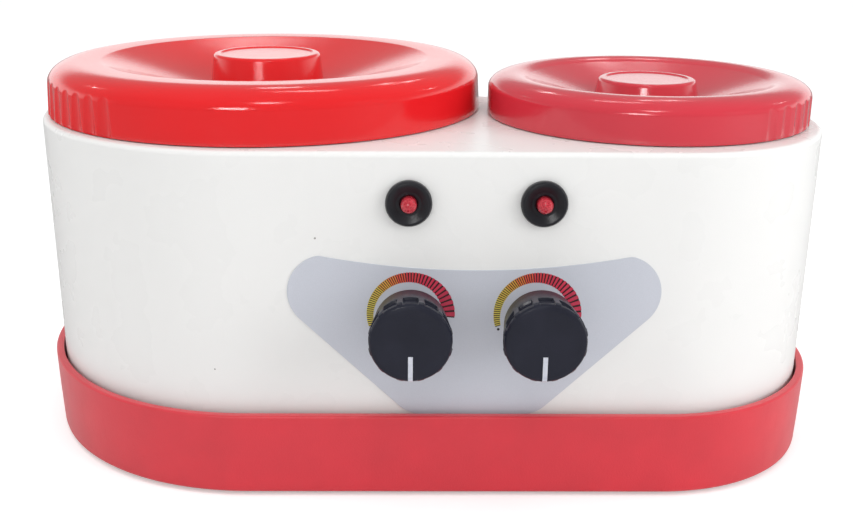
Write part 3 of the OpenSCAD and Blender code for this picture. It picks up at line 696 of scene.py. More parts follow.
def metal(name, main, roughness, worn=0.3, spun=None, grain=1800.0):
    """A bare or plated metal, spun with rings or tumbled with grain."""
    material, tree, shader = base_material(name)
    drift = effect(tree, "colour drift", {
        "Colour": solid(main), "Other": solid(scaled(main, 0.82)), "Scale": 60.0})
    base = mix(tree, effect(tree, "edge wear", {"Amount": worn}), drift, solid(scaled(main, 1.35)))
    marks = {"Roughness": roughness, "Spread": 0.06, "Scale": 70.0, "Streaks": 0.1}
    if spun:
        height = effect(tree, "spun rings", {
            "Centre": (spun[0] * MM, spun[1] * MM, 0.0), "Pitch": 0.0005, "Depth": 1.0})
    else:
        height = effect(tree, "moulded skin", {"Grain Scale": grain, "Grain": 0.6})
    surface(tree, shader, base, marks, height, 0.00004, {"Metallic": 1.0})
    return material


def material_of(name):
    """A finish by its name, made on first use."""
    known = bpy.data.materials.get(name)
    if known:
        return known
    if name.startswith("heat_tone_"):
        tone = HEAT_TONES[int(name[-1])]
        return moulded(name, tone, scaled(tone, 1.12), 0.42, grain=(3800.0, 0.5), depth=0.00004,
                       drift_scale=900.0)
    finish = settings().finish
    gloss = finish.gloss
    makers = {
        "shell_white": lambda: moulded(
            name, finish.shell, scaled(finish.shell, 0.985), gloss + 0.12, 0.05, 0.0, specular=0.15,
            ripple=(38.0, 0.5), depth=0.00010, speck=((0.34, 0.33, 0.32), 0.018, 40.0), drift_scale=9.0),
        "tray_red": lambda: moulded(
            name, finish.tray, scaled(finish.tray, 0.90), finish.satin, 0.06, 0.05, grain=(1900.0, 0.9),
            ripple=(90.0, 0.5), depth=0.00008, drift_scale=45.0, specular=0.6, sheen=0.25),
        "left_lid_red": lambda: moulded(
            name, finish.left_lid, scaled(finish.left_lid, 0.94), gloss - 0.05, 0.03, 0.04,
            ripple=(55.0, 0.8), depth=0.00009, drift_scale=14.0, coat=0.4, coat_roughness=0.04),
        "right_lid_red": lambda: moulded(
            name, finish.right_lid, scaled(finish.right_lid, 0.94), gloss - 0.02, 0.03, 0.04,
            ripple=(60.0, 0.8), depth=0.00010, drift_scale=14.0, coat=0.5, coat_roughness=0.06),
        "overlay_silver": overlay_material,
        "scale_ink": lambda: moulded(name, (0.034, 0.010, 0.014), roughness=0.5, grain=(3000.0, 0.4)),
        "mark_ink": lambda: moulded(name, (0.02, 0.02, 0.024), roughness=0.5, grain=(3000.0, 0.4)),
        "dial_charcoal": lambda: moulded(
            name, finish.dials, scaled(finish.dials, 1.25), 0.34, 0.05, 0.06, grain=(3200.0, 0.7),
            ripple=(150.0, 0.3), depth=0.00005, drift_scale=90.0, coat=0.3, coat_roughness=0.14,
            specular=0.12),
        "pointer_white": lambda: moulded(
            name, (0.60, 0.62, 0.68), (0.50, 0.52, 0.60), 0.4, grain=(2400.0, 0.8), drift_scale=500.0),
        "bezel_black": lambda: moulded(
            name, (0.011, 0.011, 0.015), (0.016, 0.016, 0.020), 0.30, 0.04, 0.05,
            grain=(2600.0, 0.4), ripple=(300.0, 0.5), depth=0.00006, specular=0.4),
        "bushing_black": lambda: moulded(
            name, (0.016, 0.016, 0.017), (0.024, 0.024, 0.025), 0.5, 0.08, 0.06, grain=(2200.0, 1.0)),
        "rubber": lambda: moulded(
            name, (0.020, 0.020, 0.020), (0.034, 0.033, 0.031), 0.72, 0.08, 0.05, grain=(1700.0, 1.0),
            depth=0.00012),
        "lens_red": lens_material,
        "neon_glass": lambda: moulded(
            name, (0.62, 0.24, 0.10), (0.52, 0.16, 0.07), 0.12, grain=(3000.0, 0.2), coat=0.6),
        "pot_aluminium_left": lambda: metal(name, (0.86, 0.86, 0.87), 0.28, spun=LARGE),
        "pot_aluminium_right": lambda: metal(name, (0.86, 0.86, 0.87), 0.28, spun=SMALL),
        "well_aluminium_left": lambda: metal(name, (0.74, 0.74, 0.76), 0.36, spun=LARGE),
        "well_aluminium_right": lambda: metal(name, (0.74, 0.74, 0.76), 0.36, spun=SMALL),
        "zinc_plated": lambda: metal(name, (0.70, 0.71, 0.73), 0.34, 0.5),
        "brass": lambda: metal(name, (0.78, 0.56, 0.24), 0.32, 0.5),
        "copper": lambda: metal(name, (0.80, 0.42, 0.28), 0.34, 0.4),
        "shaft_steel": lambda: metal(name, (0.62, 0.62, 0.64), 0.24, 0.4),
        "mica_steel": lambda: metal(name, (0.52, 0.47, 0.38), 0.44, 0.4, grain=900.0),
        "ivory_phenolic": lambda: moulded(
            name, (0.70, 0.62, 0.44), (0.62, 0.54, 0.37), 0.4, grain=(1500.0, 0.9), drift_scale=160.0),
        "fuse_ceramic": lambda: moulded(
            name, (0.80, 0.79, 0.75), (0.72, 0.71, 0.67), 0.5, grain=(1600.0, 0.8)),
        "block_nylon": lambda: moulded(
            name, (0.74, 0.74, 0.70), (0.68, 0.68, 0.64), 0.45, grain=(1400.0, 0.8), drift_scale=120.0),
        "lead_sleeve": lambda: moulded(
            name, (0.42, 0.030, 0.020), (0.33, 0.022, 0.016), 0.5, grain=(1800.0, 0.9),
            drift_scale=140.0),
        "glass_felt": felt_material,
    }
    return makers[name]()


def overlay_material():
    """Silver film with a fine pearl grain under a satin skin."""
    silver = settings().finish.overlay
    material, tree, shader = base_material("overlay_silver")
    pearl = effect(tree, "colour drift", {
        "Colour": solid(silver), "Other": solid(scaled(silver, 1.10)), "Scale": 5200.0})
    slow = ramp(tree, cloud(tree, place_on(tree), 14.0), 0.0, 1.0, 0.93, 1.05)
    marks = {"Roughness": 0.40, "Spread": 0.05, "Scale": 60.0, "Streaks": 0.05}
    skin = effect(tree, "moulded skin", {
        "Grain Scale": 4200.0, "Grain": 0.5, "Ripple Scale": 35.0, "Ripple": 0.8})
    surface(tree, shader, mix(tree, 1.0, pearl, slow, blend_type="MULTIPLY"), marks, skin, 0.00005)
    return material


def lens_material():
    """Clear red lens with a pebbled inner face that breaks up the light, its pebbles painted paler red as
    speckled highlights.
    """
    material, tree, shader = base_material("lens_red")
    pebbles_and_glints = put(tree, "TexVoronoi", {"Vector": place_on(tree), "Scale": 1500.0}).outputs["Distance"]
    # Painted highlight: the lens turns a paler red away from each pebble's centre, standing in for the
    # speckled glints of the pebbled face.
    base = mix(tree, ramp(tree, pebbles_and_glints, 0.0, 0.8), solid(settings().finish.lens),
               solid((0.56, 0.040, 0.060)))
    marks = {"Roughness": 0.10, "Spread": 0.04, "Scale": 300.0}
    surface(tree, shader, base, marks, pebbles_and_glints, 0.00010, {
        "Emission Color": base, "Emission Strength": 0.03, "Coat Weight": 0.8})
    return material


def felt_material():
    """Pale needled glass felt, with loose fibres."""
    material, tree, shader = base_material("glass_felt")
    drawn = put(tree, "Mapping", {"Vector": place_on(tree), "Scale": (900, 900, 2600)})
    base = effect(tree, "colour drift", {
        "Colour": (0.70, 0.62, 0.46, 1), "Other": (0.60, 0.50, 0.34, 1), "Scale": 45.0,
        "Speck": (0.44, 0.34, 0.20, 1), "Speck Size": 0.12, "Speck Scale": 420.0})
    marks = {"Roughness": 0.9, "Spread": 0.06, "Streaks": 0.0}
    fibres = cloud(tree, drawn.outputs[0], 1.0, 4.0)
    surface(tree, shader, base, marks, fibres, 0.0004, {"Sheen Weight": 0.3})
    return material


def wear(piece, name):
    """Gives a piece its finish."""
    piece.data.materials.clear()
    piece.data.materials.append(material_of(name))


def dress(node, name):
    """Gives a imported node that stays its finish."""
    piece = NODES[node]
    made = material_of(name)
    if not piece.data.materials:
        piece.data.materials.append(made)
    for index in range(len(piece.data.materials)):
        piece.data.materials[index] = made


class Maker:
    """Common ground of the operators below."""

    bl_options = {"REGISTER", "UNDO"}


class WARMER_OT_camera(Maker, bpy.types.Operator):
    """Stands the camera where the photograph was taken"""

    bl_idname = "warmer.camera"
    bl_label = "Camera"

    def execute(self, context):
        dip = 0.3229
        swing = -0.0135
        roll = 0.0081
        place = Vector((-4.906, -448.831, 211.201)) * MM
        flat = math.cos(dip)
        ahead = Vector((-math.sin(swing) * flat, math.cos(swing) * flat, -math.sin(dip)))
        side = Vector((math.cos(swing), math.sin(swing), 0.0))
        over = side.cross(ahead)
        right = side * math.cos(roll) + over * math.sin(roll)
        up = over * math.cos(roll) - side * math.sin(roll)
        data = bpy.data.cameras.new("camera")
        data.sensor_width = 36.0
        data.lens = SHOT_FOCUS * 36.0 / SHOT_WIDTH
        data.clip_start = 0.01
        camera = bpy.data.objects.new("camera", data)
        context.scene.collection.objects.link(camera)
        stand = Matrix((right, up, -ahead)).transposed().to_4x4()
        stand.translation = place
        camera.matrix_world = stand
        context.scene.camera = camera
        return {"FINISHED"}


class WARMER_OT_shell(Maker, bpy.types.Operator):
    """Moulds the white shell with its rounded deck edge, well openings, bosses and cord pad"""

    bl_idname = "warmer.shell"
    bl_label = "Shell"

    def execute(self, context):
        body = settings().body
        edge = mm(body.deck_edge)
        wall = mm(body.wall)
        under = DECK - mm(body.deck)
        rings = [(-wall - 1.2, under), (-wall - 0.35, under - 0.35), (-wall, under - 1.2),
                 (-wall, TRAY_FLOOR), (0.0, TRAY_FLOOR)]
        rings += [(0.0, z) for z in WALL_LEVELS]
        rings += [(-edge * (1 - c), DECK - edge + edge * s) for c, s in quarter(8)]
        rings.append((-edge - 0.6, DECK))
        shape = Shape("moulded_shell")
        shape.stack([at_height(footprint(grow), z) for grow, z in rings])
        shell = shape.make()
        cuts = Shape("shell_cuts")
        for _, at, radius in POTS:
            cuts.drill(upright(at), radius + 3.0, DECK - 6, DECK + 2, 180)
        for side in SIDES:
            cuts.drill(on_front(*DIALS[side]), 5.0, -wall - 2, 2)
            cuts.drill(on_front(*LAMPS[side]), 5.1, -wall - 2, 2)
        cuts.drill(on_rear, 6.1, -12, 3)
        carve(shell, cuts.make())
        settle(shell, 35.0, weighted=True)
        extra = Shape("bosses")
        for at, reach, turn in BOSSES:
            x, y = polar(at, reach, turn)
            c = math.cos(math.radians(turn))
            s = math.sin(math.radians(turn))
            extra.turn(softened([
                (1.55, BOSS_FOOT, 0), (4.0, BOSS_FOOT, 0.3), (4.0, BOSS_TOP, 0.3), (0.8, BOSS_TOP, 0),
                (0.8, 25.0, 0), (1.55, 24.0, 0)], True), upright((x, y)), 36)
            extra.block((3.0, -1.0, BOSS_FOOT), (5.6, 1.0, BOSS_TOP),
                        lambda a, b, z: (x + a * c - b * s, y + a * s + b * c, z))
        extra.turn(softened([(6.1, -5.5, 0), (9.5, -5.5, 0.4), (9.5, 0.0, 0.35), (6.1, 0.0, 0)], True),
                   on_rear, 64)
        absorb(shell, extra.make())
        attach(shell, "base")
        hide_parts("shell")
        wear(shell, "shell_white")
        return {"FINISHED"}


class WARMER_OT_tray(Maker, bpy.types.Operator):
    """Moulds the red tray with its drafted band, vents and screw pads, and sets its rubber feet"""

    bl_idname = "warmer.tray"
    bl_label = "Tray and feet"

    def execute(self, context):
        body = settings().body
        out = mm(body.band_out)
        gap = mm(body.band_gap)
        draft = mm(body.band_draft)
        edge = mm(body.band_edge)
        pinch = mm(body.band_pinch)
        toe = 1.6
        rise = BAND_TOP - FOOT - toe - edge
        skirt = [(out - draft - toe, FOOT), (out - draft - 0.8, FOOT + 0.15),
                 (out - draft - 0.2, FOOT + 0.7), (out - draft, FOOT + toe)]
        for k in range(1, 7):
            t = k / 6
            skirt.append((out - draft * (1 - t) ** 1.35, FOOT + toe + rise * t))
        skirt += [(out - edge * (1 - c), BAND_TOP - edge + edge * s) for c, s in quarter(6, 1)]
        skirt += [(gap + 0.35, BAND_TOP), (gap + 0.1, BAND_TOP - 0.1), (gap, BAND_TOP - 0.4),
                  (gap, 20.0), (gap, 5.0), (gap - 0.3, TRAY_FLOOR + 0.3), (gap - 1.0, TRAY_FLOOR)]
        shape = Shape("base_band")
        shape.stack([at_height(footprint(grow, pinch), z) for grow, z in skirt])
        tray = shape.make()
        cuts = Shape("tray_cuts")
        bosses = [polar(*boss) for boss in BOSSES]
        feet = [polar(*foot) for foot in FEET]
        for spot in bosses:
            cuts.drill(upright(spot), 5.3, 0, 6)
        for spot in feet:
            cuts.drill(upright(spot), 7.05, 0, FOOT + 1.2)
        for at in (LARGE, SMALL):
            for i in range(6):
                x = at[0] + (i - 2.5) * 9
                vent = (arc((x, at[1] + 15.5), 1.5, 0, 180, 8)
                        + arc((x, at[1] - 15.5), 1.5, 180, 360, 8))
                cuts.stack([at_height(vent, 0.0), at_height(vent, 6.0)])
        carve(tray, cuts.make())
        settle(tray, 35.0, weighted=True)
        pads = Shape("pads")
        for spot in bosses:
            pads.turn(softened([
                (3.4, FOOT, 0.2), (5.4, FOOT, 0), (5.4, BOSS_FOOT, 0.3), (1.8, BOSS_FOOT, 0.2),
                (1.8, 3.9, 0), (3.4, 3.9, 0)], True), upright(spot), 48)
        absorb(tray, pads.make())
        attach(tray, "base")
        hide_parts("base_tray")
        wear(tray, "tray_red")
        shape = Shape("feet")
        for spot in feet:
            shape.turn(softened([
                (0, 0.5, 0), (3.4, 0.5, 0.3), (3.9, 0.0, 0.2), (6.2, 0.0, 0.5), (7.0, 1.45, 0.1),
                (7.0, FOOT + 1.15, 0.1), (0, FOOT + 1.15, 0)]), upright(spot), 56, closed=False)
        soles = shape.make()
        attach(soles, "base")
        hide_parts("rubber_feet")
        wear(soles, "rubber")
        return {"FINISHED"}


class WARMER_OT_pots(Maker, bpy.types.Operator):
    """Spins the two wax pots with rolled rims and the wells that hold them"""

    bl_idname = "warmer.pots"
    bl_label = "Pots and wells"

    def execute(self, context):
        seat_z = POT_RIM - 1.6
        flange = DECK + 1.5
        for side, at, radius in POTS:
            outline = [
                (0, POT_FLOOR + 0.7, 0), (radius - 26, POT_FLOOR + 0.7, 3), (radius - 22, POT_FLOOR, 3),
                (radius, POT_FLOOR, 6.0), (radius, seat_z, 0.4), (radius + 2.9, seat_z, 0.5),
                (radius + 3.5, seat_z + 0.55, 0.5), (radius + 3.5, POT_RIM - 0.6, 0.6),
                (radius + 2.7, POT_RIM, 0.8), (radius + 0.6, POT_RIM, 1.2),
                (radius - 1.2, POT_RIM - 1.3, 1.2), (radius - 1.2, POT_FLOOR + 1.2, 4.8),
                (radius - 21, POT_FLOOR + 1.2, 3), (radius - 25, POT_FLOOR + 1.9, 3),
                (0, POT_FLOOR + 1.9, 0)]
            shape = Shape(side + "_wax_pot")
            shape.turn(softened(outline, steps=6), upright(at), 180, closed=False)
            pot = shape.make()
            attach(pot, side + "_pot")
            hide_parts(side + "_pot")
            wear(pot, "pot_aluminium_" + side)
            inner = radius + 1.0
            outline = [
                (0, WELL_FLOOR, 0), (inner + 1.5, WELL_FLOOR, 1.6), (inner + 1.5, DECK, 0.2),
                (inner + 6.9, DECK, 0.2), (inner + 6.9, flange, 0.5), (inner, flange, 0.8),
                (inner, WELL_FLOOR + 1.5, 0.9), (0, WELL_FLOOR + 1.5, 0)]
            shape = Shape(side + "_spun_well")
            shape.turn(softened(outline), upright(at), 160, closed=False)
            well = shape.make()
            cuts = Shape("well_cuts")
            for i in range(3):
                screw = polar(at, inner + 4.7, 90 + 120 * i)
                cuts.drill(upright(screw), 1.4, DECK - 2, DECK + 3, 24)
            carve(well, cuts.make())
            settle(well)
            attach(well, "base")
            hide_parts(side + "_heater_well")
            wear(well, "well_aluminium_" + side)
        return {"FINISHED"}


def lid_outline(lid):
    """Cross-section of a lid, from its lower outer edge over crest, dish and grip, and back inside."""
    low = 0.3
    dish = 5.9
    skin = 2.0
    foot = mm(lid.foot)
    shoulder = mm(lid.shoulder)
    crest_r = mm(lid.crest_r)
    crest = mm(lid.crest)
    lip_r = mm(lid.lip_r)
    drop = mm(lid.lip_drop)
    grip_r = mm(lid.grip_r)
    grip = mm(lid.grip)
    wall_r = foot - lid.draft * shoulder
    base_r = grip_r + 2.0
    outer = [(foot - 0.35, low), (foot - 0.1, low + 0.1), (foot, low + 0.35)]
    for k in range(1, 9):
        t = k / 9
        outer.append((foot - lid.draft * shoulder * t, low + 0.35 + (shoulder - low - 0.35) * t))
    outer += [(crest_r + (wall_r - crest_r) * c, shoulder + (crest - shoulder) * s)
              for c, s in quarter(33)]
    flat = [(crest_r + (lip_r - crest_r) * k / 6, crest - drop * (k / 6) ** 2, 0) for k in range(1, 6)]
    inward = softened(flat + [
        (lip_r, crest - drop, 5.0), (base_r, dish, 2.4), (grip_r, grip - 0.1, 1.5),
        (grip_r - 2.6, grip, 0.4), (grip_r - 3.0, grip - 0.5, 0.35), (grip_r - 12.0, grip - 0.55, 0),
        (0, grip - 0.55, 0)], steps=7)
    inside = softened([
        (0, grip - 2.6, 0), (grip_r - 3.4, grip - 2.6, 1.2), (base_r - skin, dish - skin, 1.2),
        (lip_r, crest - drop - skin, 3.0), (crest_r, crest - skin, 3.0)], steps=5)
    for k in range(1, 13):
        turn = math.pi / 2 * (1 - k / 12)
        inside.append((crest_r + (wall_r - skin - crest_r) * math.cos(turn),
                       shoulder + (crest - skin - shoulder) * math.sin(turn)))
    inside += [(foot - skin, low + 1.2), (foot - 1.9, low)]
    return [(r, DECK + z) for r, z in outer + inward + inside], len(outer)


def nearest(angle, centres):
    """How far an angle is from the nearest of several, in degrees."""
    return min(((angle - centre + 180) % 360 - 180 for centre in centres), key=abs)


def flute_bend(lid, last):
    """Presses the finger flutes into a lid's outer wall. Each one runs out over the shoulder."""
    hollow = 6.6
    pitch = 8.4
    blend = 0.16
    foot = mm(lid.foot)
    reach = foot + hollow - mm(lid.flute_depth)
    step = math.degrees(pitch / foot)
    outward = math.degrees(lid.outward)
    centres = [outward + (i - (lid.flutes - 1) / 2) * step for i in range(lid.flutes)]

    def bend(radius, height, angle, index):
        if index < 1 or index >= last:
            return radius
        off = math.radians(nearest(angle, centres))
        side = reach * math.sin(off)
        if abs(side) >= hollow * 0.98:
            return radius
        pressed = reach * math.cos(off) - math.sqrt(hollow ** 2 - side ** 2)
        gap = radius - pressed
        if gap < -blend:
            return radius
        if gap > blend:
            return pressed
        return radius - (gap + blend) ** 2 / (4 * blend)
    return bend, centres


def ring_angles(centres, half, fine, coarse):
    """Angles once round, closer together where the flutes are."""
    out = []
    angle = 0.0
    while angle < 359.9:
        out.append(angle)
        angle += fine if abs(nearest(angle, centres)) < half else coarse
    return out


class WARMER_OT_lids(Maker, bpy.types.Operator):
    """Moulds both lids: fluted wall, rounded shoulder, sloping dish and hollow grip"""

    bl_idname = "warmer.lids"
    bl_label = "Lids"

    def execute(self, context):
        warmer = settings()
        for side, at, lid, fine, slot in (
                ("left", LARGE, warmer.large_lid, 0.25, "red_lid_plastic"),
                ("right", SMALL, warmer.small_lid, 0.34, "pink_red_lid_plastic")):
            outline, last = lid_outline(lid)
            bend, centres = flute_bend(lid, last)
            shape = Shape(side + "_moulded_lid")
            shape.turn(outline, upright(at), angles=ring_angles(centres, 4.4, fine, 1.5), bend=bend)
            piece = shape.make(sharp=48.0)
            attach(piece, side + "_lid")
            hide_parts(side + "_lid")
            wear(piece, side + "_lid_red")
        return {"FINISHED"}


def overlay_outline():
    """Outline of the panel overlay, its centre line at x 0 and the deck at y 0."""
    top = -36.6
    bottom = top - 61.4
    half = 66.4
    corner = 14.0
    foot = 12.0
    sag = 5.5
    high = (half - corner, top - corner)
    low = (half * 0.276, bottom + foot)
    dx = low[0] - high[0]
    dy = low[1] - high[1]
    lean = math.degrees(math.atan2(dy, dx)) + 90
    tangent = lean - math.degrees(math.asin((corner - foot) / math.hypot(dx, dy)))
    right = [(0.0, bottom), (low[0] * 0.5, bottom)]
    right += arc(low, foot, -90, tangent, 16)
    right += arc(high, corner, tangent, 90, 26)
    right += line((high[0] - 1.0, top), (0.0, top), 40)
    big = ((half - 9.4) ** 2 + sag ** 2) / (2 * sag)
    out = [(x, min(y, top - sag + big - math.sqrt(big ** 2 - x * x))) for x, y in right]
    return out + [(-x, y) for x, y in reversed(out[1:-1])]


def scale_steps():
    """Where each printed segment starts, ends and turns to colour. They grow towards the hot end."""
    out = []
    at = 0.0
    while at < SCALE_SWEEP - 3.0:
        hot = max(at / SCALE_SWEEP - 0.42, 0.0) / 0.58
        pitch = 3.1 + 7.0 * hot ** 1.2
        out.append((at, min(at + pitch, SCALE_SWEEP), at + pitch * (0.30 + 0.18 * (1 - hot))))
        at += pitch
    return out


def heat_tone(t):
    """Which printed tone a segment has: straw, orange from a third on, deep red past the top."""
    return sum(t >= end for end in TONE_ENDS)


def print_strip(shape, place, span, cells, edge, low, high):
    """A thin printed strip along the scale, from one angle to another."""
    dials = settings().dials
    thin = mm(dials.scale_thin)
    wide = mm(dials.scale_wide)
    outer = mm(dials.scale_r)
    start, stop = span
    loops = []
    for k in range(cells + 1):
        at = start + (stop - start) * k / cells
        turn = math.radians(SCALE_START - at)
        c = math.cos(turn)
        s = math.sin(turn)
        near = outer - (thin + (wide - thin) * (at / SCALE_SWEEP) ** 0.75) + edge
        far = outer - edge
        loops.append([place(near * c, near * s, low), place(far * c, far * s, low),
                      place(far * c, far * s, high), place(near * c, near * s, high)])
    shape.stack(loops)


class WARMER_OT_panel(Maker, bpy.types.Operator):
    """Lays the silver overlay on the front and prints the heat scales round the dials"""

    bl_idname = "warmer.panel"
    bl_label = "Overlay and heat scales"

    def execute(self, context):
        place = on_front(PANEL_X, DECK)
        centre = (0.0, -66.0)
        outline = overlay_outline()
        loops = []
        for shrink, z in ((0.0, 0.0), (0.0, 0.30), (0.05, 0.37), (0.16, 0.40)):
            ring = []
            for x, y in outline:
                inset = Vector((x - centre[0], y - centre[1])).normalized() * shrink
                ring.append(place(x - inset.x, y - inset.y, z))
            loops.append(ring)
        shape = Shape("silver_overlay")
        shape.stack(loops)
        film = shape.make()
        cuts = Shape("overlay_cuts")
        for side in SIDES:
            cuts.drill(on_front(*DIALS[side]), 5.3, -2, 3)
        carve(film, cuts.make())
        settle(film, 30.0, weighted=True)
        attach(film, "base")
        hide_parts("control_overlay")
        wear(film, "overlay_silver")
        for side in SIDES:
            self.scale(side)
        return {"FINISHED"}

    def scale(self, side):
        """One heat scale: a dark backing, coloured segments on it and a dot at the cold end."""
        spot = on_front(*DIALS[side])
        backing = Shape(side + "_scale_backing")
        print_strip(backing, spot, (0.0, SCALE_SWEEP), 100, 0.12, 0.40, 0.43)
        base = backing.make(sharp=30.0)
        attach(base, "base")
        wear(base, "scale_ink")
        colours = Shape(side + "_heat_scale")
        tones = []
        for start, stop, tint in scale_steps():
            first = len(colours.faces)
            print_strip(colours, spot, (tint, stop), max(2, int((stop - tint) / 1.2)), 0.0, 0.42, 0.47)
            tones += [heat_tone((start + stop) / 2 / SCALE_SWEEP)] * (len(colours.faces) - first)
        scale = colours.make(sharp=30.0)
        if len(scale.data.polygons) != len(tones):
            raise RuntimeError("the heat scale lost some of its segments")
        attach(scale, "base")
        wear(scale, "heat_tone_0")
        for index in range(1, len(HEAT_TONES)):
            scale.data.materials.append(material_of("heat_tone_%d" % index))
        scale.data.polygons.foreach_set("material_index", tones)
        mark = Shape(side + "_scale_mark")
        cold_end = polar(DIALS[side], mm(settings().dials.scale_r) - 0.8, 202.5)
        mark.turn(softened([(0, 0.40, 0), (0.5, 0.40, 0), (0.5, 0.46, 0.03), (0, 0.46, 0)]),
                  on_front(*cold_end), 24, closed=False)
        dot = mark.make()
        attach(dot, "base")
        wear(dot, "mark_ink")


def dial_bend(dials, last):
    """Presses the pockets into a dial's drum and notches its front ring."""
    pitch = 360.0 / dials.pockets
    near = DIAL_FACE - mm(dials.drum) * 0.44
    far = DIAL_FACE - 2.4 - 1.2
    deep = mm(dials.pocket_depth)

    def bend(radius, height, angle, index):
        if index >= last:
            return radius
        off = abs((angle - 90 + pitch / 2) % pitch - pitch / 2)
        across = 1 - ease(9.6, 11.0, off)
        pocket = ease(near - 0.1, near + 0.5, height) * (1 - ease(far - 0.45, far + 0.1, height))
        ring = ease(far, far + 0.4, height) * (1 - ease(DIAL_FACE - 1.6, DIAL_FACE - 1.0, height))
        return radius - across * (deep * pocket + 0.50 * ring)
    return bend


class WARMER_OT_dials(Maker, bpy.types.Operator):
    """Moulds the two dials with their pockets and hollow backs, and inlays their pointer lines"""

    bl_idname = "warmer.dials"
    bl_label = "Dials"

    def execute(self, context):
        dials = settings().dials
        face = DIAL_FACE
        back = face - mm(dials.drum)
        back_r = mm(dials.back_r)
        front_r = mm(dials.front_r)
        bevel = [(front_r, face - 2.4, 0.3), (front_r - 0.25, face - 1.3, 0.6),
                 (front_r - 1.0, face - 0.35, 0.6), (front_r - 2.3, face, 0.9)]
        drum = [(back_r - 0.25, back), (back_r - 0.05, back + 0.1), (back_r + 0.02, back + 0.35)]
        for k in range(1, 44):
            t = k / 44
            drum.append((back_r + (front_r - back_r) * t, back + 0.35 + (face - 2.75 - back) * t))
        crown = [(front_r, face - 3.0, 0)] + bevel
        crown += [(front_r - 3.4, face - 0.06, 0.3), (0, face - 0.10, 0)]
        inside = [(0, face - 4.0), (3.0, face - 4.0), (3.0, 6.0), (7.2, 6.0), (7.5, 6.3),
                  (7.5, back + 13.6), (back_r - 1.9, back + 13.6), (back_r - 1.9, back + 0.1),
                  (back_r - 1.8, back)]
        outline = drum + softened(crown, steps=6) + inside
        for side in SIDES:
            spot = on_front(*DIALS[side])
            shape = Shape(side + "_dial_knob")
            shape.turn(outline, spot, 360, bend=dial_bend(dials, len(drum) + 20))
            knob = shape.make(sharp=40.0)
            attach(knob, side + "_dial")
            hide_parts(side + "_dial")
            wear(knob, "dial_charcoal")
            shape = Shape(side + "_pointer_line")
            shape.stack(self.pointer_loops(bevel, mm(dials.pointer) / 2, spot))
            pointer = shape.make()
            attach(pointer, side + "_dial")
            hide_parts(side + "_dial_pointer")
            wear(pointer, "pointer_white")
        return {"FINISHED"}

    def pointer_loops(self, bevel, half, spot):
        """Loops of the pointer line, from the face down over the dial's bevel."""
        front_r = bevel[0][0]
        rounded = [(r, z, 0.6) for r, z, _ in reversed(bevel)]
        path = softened([(4.6, DIAL_FACE, 0)] + rounded + [(front_r, DIAL_FACE - 2.5, 0)])
        loops = []
        for i, point in enumerate(path):
            ahead = Vector(path[min(i + 1, len(path) - 1)]) - Vector(path[max(i - 1, 0)])
            out = Vector((-ahead.y, ahead.x)).normalized()
            top = Vector(point) + out * 0.075
            low = Vector(point) - out * 0.45
            loops.append([spot(-half, -low.x, low.y), spot(half, -low.x, low.y),
                          spot(half, -top.x, top.y), spot(half - 0.1, -top.x, top.y),
                          spot(-half, -top.x, top.y)])
        return loops


class WARMER_OT_lamps(Maker, bpy.types.Operator):
    """Turns the pilot lamps' black bezels and red lenses"""

    bl_idname = "warmer.lamps"
    bl_label = "Pilot lamps"

    def execute(self, context):
        ring = softened([
            (2.9, -16.0, 0.2), (5.0, -16.0, 0.3), (5.0, 0.0, 0), (8.15, 0.0, 0.1), (8.15, 1.7, 0.9),
            (7.5, 2.8, 0.5), (6.7, 2.8, 0.6), (4.4, 1.75, 1.2), (3.3, 1.6, 0.3), (2.9, 1.0, 0.2)],
            True, 6)
        lens_r = 2.85
        dome = [(0, -4.0), (2.6, -4.0), (lens_r, -3.7), (lens_r, 0.0), (lens_r, 3.0)]
        dome += [(lens_r * c, 3.35 + lens_r * s) for c, s in quarter(12)[:-1]]
        dome.append((0, 6.2))
        for side in SIDES:
            spot = on_front(*LAMPS[side])
            shape = Shape(side + "_lamp_ring")
            shape.turn(ring, spot, 96)
            bezel = shape.make(sharp=50.0)
            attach(bezel, "base")
            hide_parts(side + "_lamp_bezel")
            wear(bezel, "bezel_black")
            shape = Shape(side + "_lamp_dome")
            shape.turn(dome, spot, 64, closed=False)
            lens = shape.make(sharp=50.0)
            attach(lens, "base")
            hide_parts(side + "_lamp_lens")
            wear(lens, "lens_red")
        return {"FINISHED"}


class WARMER_OT_bushing(Maker, bpy.types.Operator):
    """Moulds the cord bushing at the rear with its ribbed strain relief"""

    bl_idname = "warmer.bushing"
    bl_label = "Cord bushing"

    def execute(self, context):
        relief = 14.0
        pitch = relief / 5
        corners = [(3.6, -11.0, 0.2), (6.0, -11.0, 0.4), (6.0, 0.0, 0), (8.0, 0.0, 0.2),
                   (8.0, 3.0, 0.7), (5.1, 3.0, 0.4)]
        for i in range(4):
            start = 3.0 + pitch * (i + 0.7)
            thin = 5.1 - 0.6 * (start - 3.0) / relief
            full = 5.5 - 0.15 * i
            corners += [(thin, start, 0.2), (full, start + 0.1, 0.35),
                        (full, start + pitch / 2 - 0.1, 0.35), (thin - 0.06, start + pitch / 2, 0.2)]
        corners += [(4.5, 3.0 + relief, 0.4), (3.6, 3.0 + relief, 0.3)]
        shape = Shape("cord_gland")
        shape.turn(softened(corners, True, 4), on_rear, 72)
        gland = shape.make(sharp=50.0)
        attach(gland, "base")
        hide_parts("cord_bushing")
        wear(gland, "bushing_black")
        return {"FINISHED"}


